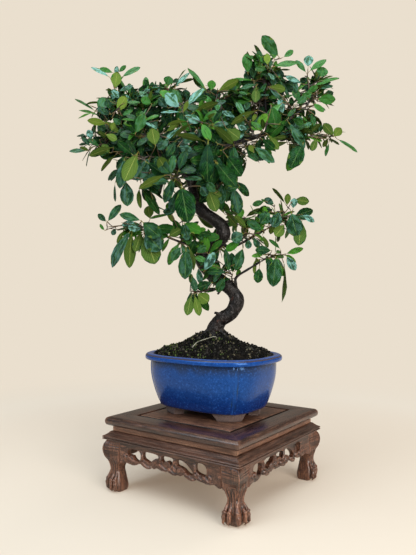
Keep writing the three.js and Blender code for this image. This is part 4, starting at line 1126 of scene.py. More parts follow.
def tuft_shape(seed):
    """A few blades of moss or weed that lean outwards from one root, about 1 m tall"""
    draws = np.random.default_rng(400 + seed)
    points = []
    faces = []
    for k in range(4):
        turn = 2 * math.pi * (k + draws.random()) / 4
        lean = 0.25 + 0.65 * draws.random()
        tall = 0.55 + 0.45 * draws.random()
        way = np.array([math.cos(turn), math.sin(turn), 0])
        across = np.array([-way[1], way[0], 0]) * (0.07 + 0.09 * draws.random())
        middle = way * lean * 0.35 * tall + np.array([0, 0, 0.62 * tall])
        tip = way * lean * tall + np.array([0, 0, 0.95 * tall])
        start = len(points)
        points += [way * 0.03 - across * 0.6, way * 0.03 + across * 0.6, -way * 0.03,
                   middle - across, middle + across, middle - way * 0.05, tip]
        faces += [(0, 2, 1), (0, 1, 4, 3), (1, 2, 5, 4), (2, 0, 3, 5), (3, 4, 6), (4, 5, 6), (5, 3, 6)]
        faces[-7:] = [tuple(start + i for i in face) for face in faces[-7:]]
    mesh = bpy.data.meshes.new("tuft")
    mesh.from_pydata(points, [], faces)
    return mesh


scatter_tree, given = new_tree("strewn_on_soil", [
    ("Shapes", "Collection", None), ("Kinds", "Int", 1), ("Number", "Float", 10000.0),
    ("Smallest", "Float", 0.001), ("Largest", "Float", 0.003), ("Tilt", "Float", 0.5),
    ("Seed", "Int", 1), ("Finish", "Material", None)])


def named(name, kind="FLOAT"):
    return output("GeometryNodeInputNamedAttribute", {"Name": name}, data_type=kind)


def random_value(kind, low, high, seed):
    """A random number for each point, whole or not"""
    places = {"FLOAT": (2, 3, 1), "INT": (4, 5, 2)}[kind]
    made = node("FunctionNodeRandomValue", {places[0]: low, places[1]: high, "Seed": seed},
                data_type=kind)
    return made.outputs[places[2]]


strewn = node("GeometryNodeDistributePointsOnFaces", {
    "Mesh": given["Geometry"], "Density": times(given["Number"], named("strew")),
    "Seed": given["Seed"]}, distribute_method="RANDOM")
shapes = output("GeometryNodeCollectionInfo", {
    "Collection": given["Shapes"], "Separate Children": True, "Reset Children": True})
pick = random_value("INT", 0, given["Kinds"], given["Seed"])
size = random_value("FLOAT", given["Smallest"], given["Largest"], given["Seed"])
spin = output("ShaderNodeCombineXYZ", {
    0: times(random_value("FLOAT", -1.0, 1.0, 11), given["Tilt"]),
    1: times(random_value("FLOAT", -1.0, 1.0, 12), given["Tilt"]),
    2: random_value("FLOAT", 0.0, 6.283, 13)})
turn = output("FunctionNodeEulerToRotation", {0: spin})
strewn_shapes = output("GeometryNodeInstanceOnPoints", {
    "Points": strewn.outputs["Points"], "Instance": shapes, "Pick Instance": True,
    "Instance Index": pick, "Rotation": turn, "Scale": size})
tone = random_value("FLOAT", 0.0, 1.0, 14)
toned = output("GeometryNodeStoreNamedAttribute", {
    "Geometry": strewn_shapes, "Name": "tone", "Value": tone},
    data_type="FLOAT", domain="INSTANCE")
strewn_real = output("GeometryNodeRealizeInstances", {0: toned})
strewn_done = output("GeometryNodeSetMaterial", {"Geometry": strewn_real,
                                                             "Material": given["Finish"]})
node("NodeGroupOutput", {0: strewn_done})

soil_x, soil_y, soil_z = ((vectors_of(soil_mesh.vertices, "co") - stand_place) / MM).T
on_top = (soil_z > 192.5).astype(np.float32)
tree_x = soil_x * math.cos(camera_azimuth) + soil_y * math.sin(camera_azimuth)
mossy = np.clip(0.42 - tree_x / 90, 0.06, 1.1)
patches = np.array([0.5 + noise.noise((x * 0.07, y * 0.07, 40)) for x, y in zip(soil_x, soil_y)])
mossy = mossy * np.clip(patches * 1.6, 0.1, 1.3)
attribute(soil_mesh, "moss", "FLOAT", mossy.astype(np.float32))


def strewn_on_soil(seed, library, kinds, number, smallest, largest, tilt, finish, share):
    """Shapes strewn over the mound as one mesh"""
    ground = soil_mesh.copy()
    attribute(ground, "strew", "FLOAT", (on_top * share).astype(np.float32))
    made = grown_by(scatter_tree, "ground", ground, {
        "Shapes": library, "Kinds": kinds, "Number": float(number), "Smallest": smallest,
        "Largest": largest, "Tilt": tilt, "Seed": seed, "Finish": finish})
    bpy.data.meshes.remove(ground)
    return made


crumb_earth = bare_material("crumb_earth")
place = object_coordinates()
grain = noise_texture(place, 900, 3, 0.7)
crumb_tone = read_attribute("tone")
crumb_colour = blended(between(crumb_tone, 0.45, 1.0), "#030303", "#322f2b")
crumb_colour = stained(crumb_colour, "#504a3a", crumb_tone, 0.90, 0.93)
crumb_colour = blended(times(grain, 0.15), crumb_colour, "#3b352d")
surfaced(coated(crumb_colour, 0.5, None, {"Specular IOR Level": 0.06}))
moss_green = bare_material("moss_green")
moss_tone = read_attribute("tone")
moss_colour = blended(between(moss_tone, 0.0, 0.7), "#1f2a0c", "#56692c")
moss_colour = stained(moss_colour, "#7b7a42", moss_tone, 0.88, 0.95)
surfaced(coated(moss_colour, 0.6, None, {"Specular IOR Level": 0.3}))

set_down("soil_mound", soil_mesh, earth, "soil", "soil")
crumbs = shape_library("crumb", [crumb_shape(k) for k in range(4)])
tufts = shape_library("tuft", [tuft_shape(k) for k in range(4)])
crumb_mesh = strewn_on_soil(5, crumbs, 3, 62000, 0.0016, 0.0068, 3.0, crumb_earth, 1.0)
set_down("soil_crumbs", crumb_mesh, crumb_earth, "soil", "soil")
moss_mesh = strewn_on_soil(9, tufts, 3, 52000, 0.0012, 0.0036, 0.5, moss_green, mossy ** 1.5)
set_down("moss", moss_mesh, moss_green, "soil", "soil")

# Trunk and branches
# One piece of grown wood that winds up from the soil, thicker at each bend, with the main branches
# and two pruned stubs on it. The bark is near black, smooth in bands, with fine pale pores.
tree_turn = Matrix.Rotation(camera_azimuth, 3, "Z")
trunk_points = [
    [0, 0, 205], [0, 0, 216], [-1, 0, 225], [1, 0, 234], [9.5, -3, 247], [25, -6, 258], [33, -6, 277],
    [23, -4, 294], [9, -2, 305], [-7, 0, 318], [-20, 3, 336], [-13, 4, 353], [5, 2, 363], [12.5, 0, 375],
    [10.5, -2, 389], [-5, -3, 401.5], [-21, -2, 414], [-31, 0, 432], [-34, 2, 448], [-31, 2, 464],
]
trunk_radii = [11, 12.5, 14, 11.4, 11, 10.8, 10.4, 10.6, 10.6, 10.2, 10, 9.6, 9.8, 10.2, 10, 9.4,
               8.8, 7.6, 6.4, 5]
branches = {
    "right_main": [[-32, 2, 461], [-15, -3, 482], [1, -8, 502], [36, -12, 514], [67, -14, 524],
                   [94, -15, 533], [115, -14, 551], [134, -10, 565]],
    "right_upright": [[78, -14, 527], [79, -8, 552], [77, -3, 576], [76, 0, 604]],
    "left_main": [[-34, 2, 449], [-53, 4, 479], [-84, 6, 501], [-112, 6, 510], [-138, 5, 517]],
    "left_upper": [[-53, 4, 478], [-77, 10, 511], [-103, 12, 546], [-132, 8, 566]],
    "leader": [[-32, 2, 460], [-33, 6, 500], [-41, 10, 540], [-50, 8, 566]],
    "centre_up": [[-14, -3, 483], [-8, 0, 513], [0, 2, 545], [9, 0, 568]],
    "back_left": [[-33, 2, 455], [-46, 26, 481], [-62, 56, 506], [-78, 84, 522]],
    "back_right": [[-16, -3, 481], [-8, 26, 500], [14, 52, 517], [36, 76, 530]],
    "back_low": [[-34, 2, 443], [-31, 26, 456], [-24, 54, 468], [-16, 76, 476]],
    "front_left": [[-48, 4, 472], [-62, -14, 476], [-78, -34, 480], [-88, -52, 482]],
    "front_centre": [[-34, 2, 451], [-36, -20, 458], [-44, -42, 459], [-52, -60, 456]],
    "lower_left": [[-17, 4, 350], [-29, 0, 357], [-46, -5, 362], [-70, -10, 371], [-94, -14, 382]],
    "lower_right": [[2, 2, 362], [24, -12, 357], [42, -14, 363], [63, -18, 375], [76, -20, 382]],
    "low_right": [[33, -6, 288], [31, -14, 301], [32, -16, 311], [50, -18, 323], [68, -20, 334]],
    "lowest_left": [[12, -3, 302], [2, -13, 294], [-9, -16, 292], [-18, -18, 290]],
    "lower_back": [[-20, 3, 338], [-22, 26, 346], [-18, 50, 356], [-12, 70, 364]],
    "upper_back": [[10, -2, 390], [18, 20, 398], [30, 42, 404], [40, 58, 408]],
}
branch_radius = {"right_main": (5, 2.2), "left_main": (4.2, 1.9), "left_upper": (3, 1.8),
                 "leader": (3.6, 1.9)}
twig_radius = (2.6, 1.6)
stubs = [
    # points, radius
    ([[12, -6, 252], [5, -9, 256], [-1, -10, 258]], (2.6, 1.9)),
    ([[13, -3, 300], [8, -6, 291], [4, -7, 285]], (2.4, 1.5)),
    ([[-26, -6, 425], [-34, -12, 428], [-38, -14, 433]], (2.2, 1.6)),
]
surface_roots = [
    # direction from the trunk in degrees, how far it shows, radius
    (200, 34, 5.0), (262, 30, 5.6), (318, 36, 4.6), (20, 32, 5.2), (88, 34, 5.0), (140, 30, 4.6),
]


def tree_line(points):
    return [np.array(p, float) for p in points]


def tube(line, radius_at, around, steps):
    """A closed round tube along a smooth curve, and its frames: place, ahead, side, way along"""
    rings = []
    frames = []
    side = None
    travelled = 0
    for k in range(steps + 1):
        t = k / steps
        centre = catmull(line, t)
        ahead = catmull(line, min(1, t + 0.001)) - catmull(line, max(0, t - 0.001))
        ahead /= np.linalg.norm(ahead)
        if side is None:
            side = np.cross((0, 0, 1) if abs(ahead[2]) < 0.9 else (1, 0, 0), ahead)
        side = side - ahead * np.dot(side, ahead)
        side /= np.linalg.norm(side)
        other = np.cross(ahead, side)
        if frames:
            travelled += np.linalg.norm(centre - frames[-1][0])
        frames.append((centre, ahead, side, travelled))
        for i in range(around):
            angle = 2 * math.pi * i / around
            rings.append(centre + (side * math.cos(angle) + other * math.sin(angle)) * radius_at(t))
    return (rings, loft_faces(steps + 1, around)), frames


def trunk_radius_at(t):
    swell = 1 + 0.05 * math.sin(t * 47) + 0.04 * math.sin(t * 83 + 1)
    return float(np.interp(t, np.linspace(0, 1, len(trunk_radii)), trunk_radii)) * swell


def from_collar(length, thick, thin):
    """The radius along a branch that swells where it leaves what it grew from"""
    def radius_at(t):
        collar = 1 + 0.75 * math.exp(-t * length / 7)
        knots = 1 + 0.07 * math.sin(t * length * 0.42)
        return (thick + (thin - thick) * t) * collar * knots
    return radius_at


wood_parts = []
wood_frames = []
part, line_frames = tube(tree_line(trunk_points), trunk_radius_at, 28, 150)
wood_parts.append(part)
wood_frames += line_frames
limbs = [(points, branch_radius.get(name, twig_radius)) for name, points in branches.items()]
for points, (thick, thin) in limbs + stubs:
    length = sum(math.dist(a, b) for a, b in zip(points, points[1:]))
    part, line_frames = tube(tree_line(points), from_collar(length, thick, thin), 14,
                             max(6, int(length / 2.2)))
    wood_parts.append(part)
    wood_frames += line_frames
for degrees, reach, radius in surface_roots:
    way = np.array([math.cos(math.radians(degrees)), math.sin(math.radians(degrees)), 0])
    line = [way * 3 + (0, 0, 240), way * 9 + (0, 0, 231.5), way * 17 + (0, 0, 225),
            way * reach * 0.8 + (0, 0, 217), way * reach + (0, 0, 210)]
    part, line_frames = tube(line, lambda t, r=radius: r * (1.05 - 0.55 * t), 12, 20)
    wood_parts.append(part)
    wood_frames += line_frames
wood_points, wood_normals, wood_faces = one_skin(wood_parts, 1.0, 3)

near = kdtree.KDTree(len(wood_frames))
for k, (centre, _, _, _) in enumerate(wood_frames):
    near.insert(centre, k)
near.balance()
barked = []
for place, normal in zip(wood_points, wood_normals):
    _, k, away = near.find(place)
    centre, ahead, side, travelled = wood_frames[k]
    from_line = place - centre
    other = np.cross(ahead, side)
    along = travelled + np.dot(from_line, ahead)
    spot = Vector((np.dot(from_line, side), np.dot(from_line, other), along * 0.33 + k // 151))
    thick = min(1, away / 8)
    rough_bark = 0.6 * noise.noise(spot * 0.22) + 0.45 * noise.noise(spot * 0.6)
    ring_marks = noise.noise(Vector((spot.x * 0.12, spot.y * 0.12, along * 0.9)))
    barked.append(place + normal * thick * (rough_bark + 0.22 * ring_marks))


def in_stand(points):
    """Places in the tree's frame, which is turned to the photograph's view, in the stand's"""
    return np.asarray(points, float) @ np.array(tree_turn).T


bark = bare_material("bark")
place = object_coordinates()
bands = noise_texture(place, 75, 5, 0.65, 0.4)
flakes = noise_texture(place, 270, 5, 0.75)
pores = noise_texture(stretched(place, (1, 1, 2.6)), 330, 2, 0.5)
bark_colour = blended(between(bands, 0.38, 0.62), "#070606", "#17110f")
bark_colour = stained(bark_colour, "#44251c", bands, 0.60, 0.72, 0.7)
bark_colour = stained(bark_colour, "#5f5b5c", flakes, 0.55, 0.63, 0.45)
bark_colour = stained(bark_colour, "#75695f", pores, 0.70, 0.76, 0.3)
bark_height = plus(flakes, times(bands, 0.8))
bark_bump = bumped(bark_height, 0.9, 0.0009)
bark_rough = ranged(flakes, 0.28, 0.62)
surfaced(coated(bark_colour, bark_rough, bark_bump, {"Specular IOR Level": 0.22}))
set_down("trunk", made_mesh("trunk", in_stand(barked), wood_faces, 180), bark, "bark",
         "trunk_and_branches")

# Pale root
# A thin feeding root that the rain has washed bare. It leaves the soil left of the trunk, arches
# over the mound's front and dives in again.
root_line = tree_line([[-33, -40, 209], [-27, -38, 215.6], [-20, -34, 218.4], [-12, -30, 220.5],
                       [-5, -27, 222.6], [1, -25, 222.8], [6, -24, 219]])
(root_points, root_faces), _ = tube(root_line, lambda t: 0.55 + 0.16 * math.sin(t * 19), 8, 46)
root_skin = bare_material("root_skin")
scurf = noise_texture(object_coordinates(), 900, 4, 0.7)
root_colour = blended(scurf, "#55544a", "#94927f")
surfaced(coated(root_colour, 0.7))
set_down("pale_root", made_mesh("pale_root", in_stand(root_points), root_faces, 60), root_skin,
         "bark", "soil")

# Leafy sprays
# Each grows from a branch: a stem with side shoots, and at the end of each a rosette of smooth,
# leathery leaves on short stalks, set a golden angle apart. The leaves are glossy above, pale and
# matt below; the youngest are the yellowest. Some upper faces carry a painted pale teal sheen, and
# leaves in the crown's shade are painted darker. Single leaves stand along the stems below them.
sprays = [
    # name, branch, place along it, [x, y, z, leaves, leaf length, lift] of each tip
    ["left_tip", "left_main", 1, [[-190, -5, 508, 6, 32, 0], [-186, 5, 530, 5, 28, 0.5],
     [-176, 14, 497, 4, 26, -0.4], [-160, -14, 530, 5, 30, 0.6]]],
    ["left_low", "left_main", 0.78, [[-152, -26, 497, 5, 34, -0.8], [-134, -24, 487, 6, 42, -1.4],
     [-144, -6, 476, 5, 36, -1.2]]],
    ["left_top", "left_upper", 1, [[-154, 0, 600, 7, 38, 1.2], [-174, 6, 580, 6, 30, 0.5],
     [-183, -14, 559, 5, 30, 0.1], [-143, -27, 562, 5, 30, 0.5]]],
    ["left_rise", "left_upper", 0.72, [[-125, 16, 590, 6, 30, 0.8], [-104, 0, 594, 6, 32, 0.9],
     [-112, 34, 586, 6, 30, 0.8]]],
    ["left_front", "left_upper", 0.4, [[-110, -48, 512, 6, 36, 0.3], [-84, -60, 512, 5, 34, 0.2],
     [-108, -46, 536, 6, 32, 0.6], [-134, -38, 542, 5, 30, 0.5]]],
    ["left_back", "left_upper", 0.55, [[-128, 62, 556, 6, 34, 0.6], [-160, 42, 544, 6, 32, 0.3],
     [-98, 70, 572, 6, 32, 0.8], [-150, 60, 522, 5, 32, -0.2]]],
    ["crown_left", "leader", 1, [[-76, -5, 602, 6, 34, 0.9], [-60, 12, 612, 6, 32, 1.1],
     [-46, -44, 560, 7, 36, 0.5], [-94, 22, 604, 5, 30, 0.8]]],
    ["crown_back", "leader", 0.66, [[-60, 62, 594, 6, 34, 0.8], [-34, 46, 602, 6, 32, 0.9],
     [-84, 48, 580, 6, 32, 0.6]]],
    ["crown_top", "centre_up", 1, [[-12, -8, 596, 6, 32, 1], [4, -30, 590, 5, 30, 0.8],
     [18, 6, 598, 6, 32, 1], [34, -6, 597, 5, 30, 0.7]]],
    ["crown_front", "centre_up", 0.35, [[-20, -66, 528, 6, 36, 0.3], [8, -60, 538, 6, 34, 0.4],
     [-4, -46, 560, 6, 32, 0.7], [-40, -56, 512, 5, 34, 0]]],
    ["crown_rear", "centre_up", 0.6, [[14, 58, 578, 6, 34, 0.7], [42, 40, 584, 6, 32, 0.8],
     [-6, 78, 562, 6, 34, 0.5], [62, 32, 556, 6, 34, 0.5]]],
    ["right_top", "right_upright", 1, [[92, 0, 645, 5, 42, 1.4], [85, -16, 623, 6, 34, 0.6],
     [54, 5, 622, 5, 36, 0.9], [76, 12, 638, 5, 30, 1], [95, 16, 610, 5, 32, 0.4]]],
    ["right_rise", "right_upright", 0.55, [[58, -14, 594, 5, 32, 0.5], [52, 14, 590, 5, 32, 0.6],
     [62, -4, 576, 5, 32, 0.2]]],
    ["right_end", "right_main", 1, [[141, -5, 616, 6, 32, 1.1], [158, 8, 614, 6, 30, 0.8],
     [152, -14, 582, 6, 32, 0.2], [128, 8, 600, 5, 30, 0.6]]],
    ["right_low", "right_main", 0.86, [[128, -34, 562, 6, 32, 0.2], [148, -24, 552, 5, 30, -0.4],
     [105, -42, 540, 5, 40, -0.6], [102, -40, 568, 5, 38, 0.2], [92, -30, 584, 5, 32, 0.2]]],
    ["right_tip", "right_main", 0.68, [[170, -20, 517, 6, 34, 0], [180, -8, 530, 5, 26, 0.4],
     [152, -36, 514, 5, 30, -0.6], [126, -30, 504, 5, 42, -0.9], [150, 4, 527, 5, 32, 0.3]]],
    ["right_back", "right_main", 0.74, [[112, 44, 556, 6, 34, 0.5], [138, 40, 548, 6, 34, 0.2],
     [84, 52, 566, 6, 34, 0.7], [120, 60, 530, 5, 34, -0.3]]],
    ["middle_front", "right_main", 0.5, [[73, -38, 508, 5, 36, -0.4], [80, -52, 552, 5, 40, 0.3],
     [42, -50, 541, 6, 38, 0.4], [54, -46, 500, 5, 36, -0.7]]],
    ["middle_under", "right_main", 0.36, [[28, -48, 505, 6, 38, -0.2], [10, -52, 492, 5, 38, -0.7],
     [46, -24, 490, 5, 34, -1.1]]],
    ["back_right", "back_right", 1, [[40, 104, 544, 6, 36, 0.5], [66, 84, 536, 6, 34, 0.2],
     [18, 110, 524, 6, 36, 0], [56, 96, 512, 5, 36, -0.4]]],
    ["back_left", "back_left", 1, [[-92, 108, 538, 6, 36, 0.5], [-118, 88, 524, 6, 34, 0.2],
     [-66, 116, 520, 6, 36, 0], [-104, 96, 500, 5, 36, -0.5]]],
    ["back_low", "back_low", 1, [[-22, 104, 488, 6, 38, -0.2], [4, 88, 478, 5, 38, -0.6],
     [-46, 88, 470, 6, 40, -0.8]]],
    ["front_left", "front_left", 1, [[-112, -66, 474, 6, 40, -0.7], [-96, -80, 468, 6, 42, -0.8],
     [-106, -54, 442, 6, 40, -1.3], [-90, -44, 422, 4, 34, -1.2]]],
    ["front_centre", "front_centre", 1, [[-60, -86, 446, 7, 42, 0.1], [-44, -76, 434, 5, 48, -1.3],
     [-82, -72, 450, 5, 40, -0.4]]],
    ["front_right", "right_main", 0.14, [[-12, -60, 494, 5, 46, -0.9], [2, -62, 474, 6, 42, -0.9],
     [20, -46, 472, 6, 38, -0.8], [4, -38, 440, 5, 40, -1.3], [28, -32, 452, 5, 42, -1.2]]],
    ["lower_left_end", "lower_left", 1, [[-161, -15, 386, 5, 26, 0.5], [-137, -20, 392, 5, 26, 0.3],
     [-112, -30, 385, 7, 42, -1.3], [-106, -8, 376, 6, 40, -1.2], [-168, -2, 382, 3, 18, -0.2]]],
    ["lower_left_near", "lower_left", 0.42, [[-52, -30, 362, 5, 40, -1.4], [-48, -26, 392, 5, 34, -1],
     [-66, -14, 406, 6, 34, 0.6], [-60, 14, 392, 6, 34, 0.3]]],
    ["lower_right_end", "lower_right", 1, [[108, -30, 412, 6, 32, 0.7], [88, -20, 416, 7, 28, 0.7],
     [74, -38, 380, 5, 34, -0.3], [118, -14, 402, 6, 38, -0.9], [104, 4, 404, 5, 30, 0.2]]],
    ["lower_right_mid", "lower_right", 0.45, [[46, -34, 382, 5, 34, 0.2], [66, -42, 366, 4, 24, -0.9],
     [32, -24, 394, 5, 32, 0.5], [38, -36, 364, 4, 26, -0.8]]],
    ["low_right_end", "low_right", 1, [[104, -22, 345, 5, 32, -0.4], [78, -30, 342, 6, 44, -0.9],
     [62, -34, 336, 4, 30, 0], [92, -6, 346, 4, 30, 0.2]]],
    ["low_centre", "low_right", 0.22, [[26, -34, 316, 5, 34, 0.6], [14, -36, 318, 5, 34, 0.2],
     [-6, -34, 328, 6, 32, 0.3], [-12, -30, 346, 5, 30, 0.5]]],
    ["lowest_left", "lowest_left", 1, [[-37, -20, 290, 5, 32, -0.9], [-26, -24, 289, 4, 32, -1],
     [-16, -28, 286, 3, 24, -0.6]]],
    ["lower_rear", "lower_back", 1, [[-14, 92, 368, 6, 34, 0.2], [12, 84, 372, 5, 32, 0.3],
     [-40, 80, 362, 6, 36, -0.6], [-8, 70, 350, 5, 34, -1]]],
    ["upper_rear", "upper_back", 1, [[52, 74, 412, 6, 34, 0.3], [26, 78, 414, 6, 34, 0.3],
     [66, 52, 406, 5, 34, -0.5]]],
]
golden_angle = math.radians(137.508)
up = np.array([0, 0, 1.0])
crown_axis = np.array([-20.0, 0])
stem_clear = 0.3
stub_reach = 6
stem_end = 3
least_lean = 0.4
main_radii = (1.25, 0.8)
shoot_radii = (0.7, 0.65)
bends = (0.05, 0.115, 0.18)
folds = (0.10, 0.21, 0.32)
leaf_slimness = 0.44
to_light = np.array([-0.1, -0.45, 0.1])
trained_flat = np.array([1, 0.55, 1])
inner_shoots = (0.34, 0.62)
lower_painted_shade = 0.5
shaded_shoots = (0.15, 0.32, 0.5, 0.66, 0.82)
picture_focus = lens_length / sensor_size * 555
camera_spot = np.array([-10.44, -829.5, 292.2])
camera_lean = math.radians(1.28)
looks = {
    # how a leaf looks: tone, spread of the tone, painted sheen; a tone below 0, as in deep, is painted
    # shade
    "sheen": (0.3, 0.3, 1.0), "plain": (0.05, 0.1, 0.0), "dark": (0.2, 0.4, 0.34),
    "deep": (-0.42, 0.3, 0.1), "green": (0.5, 0.3, 0.16), "under": (0.35, 0.6, 0.0),
    "young": (0.85, 0.3, 0.0),
}
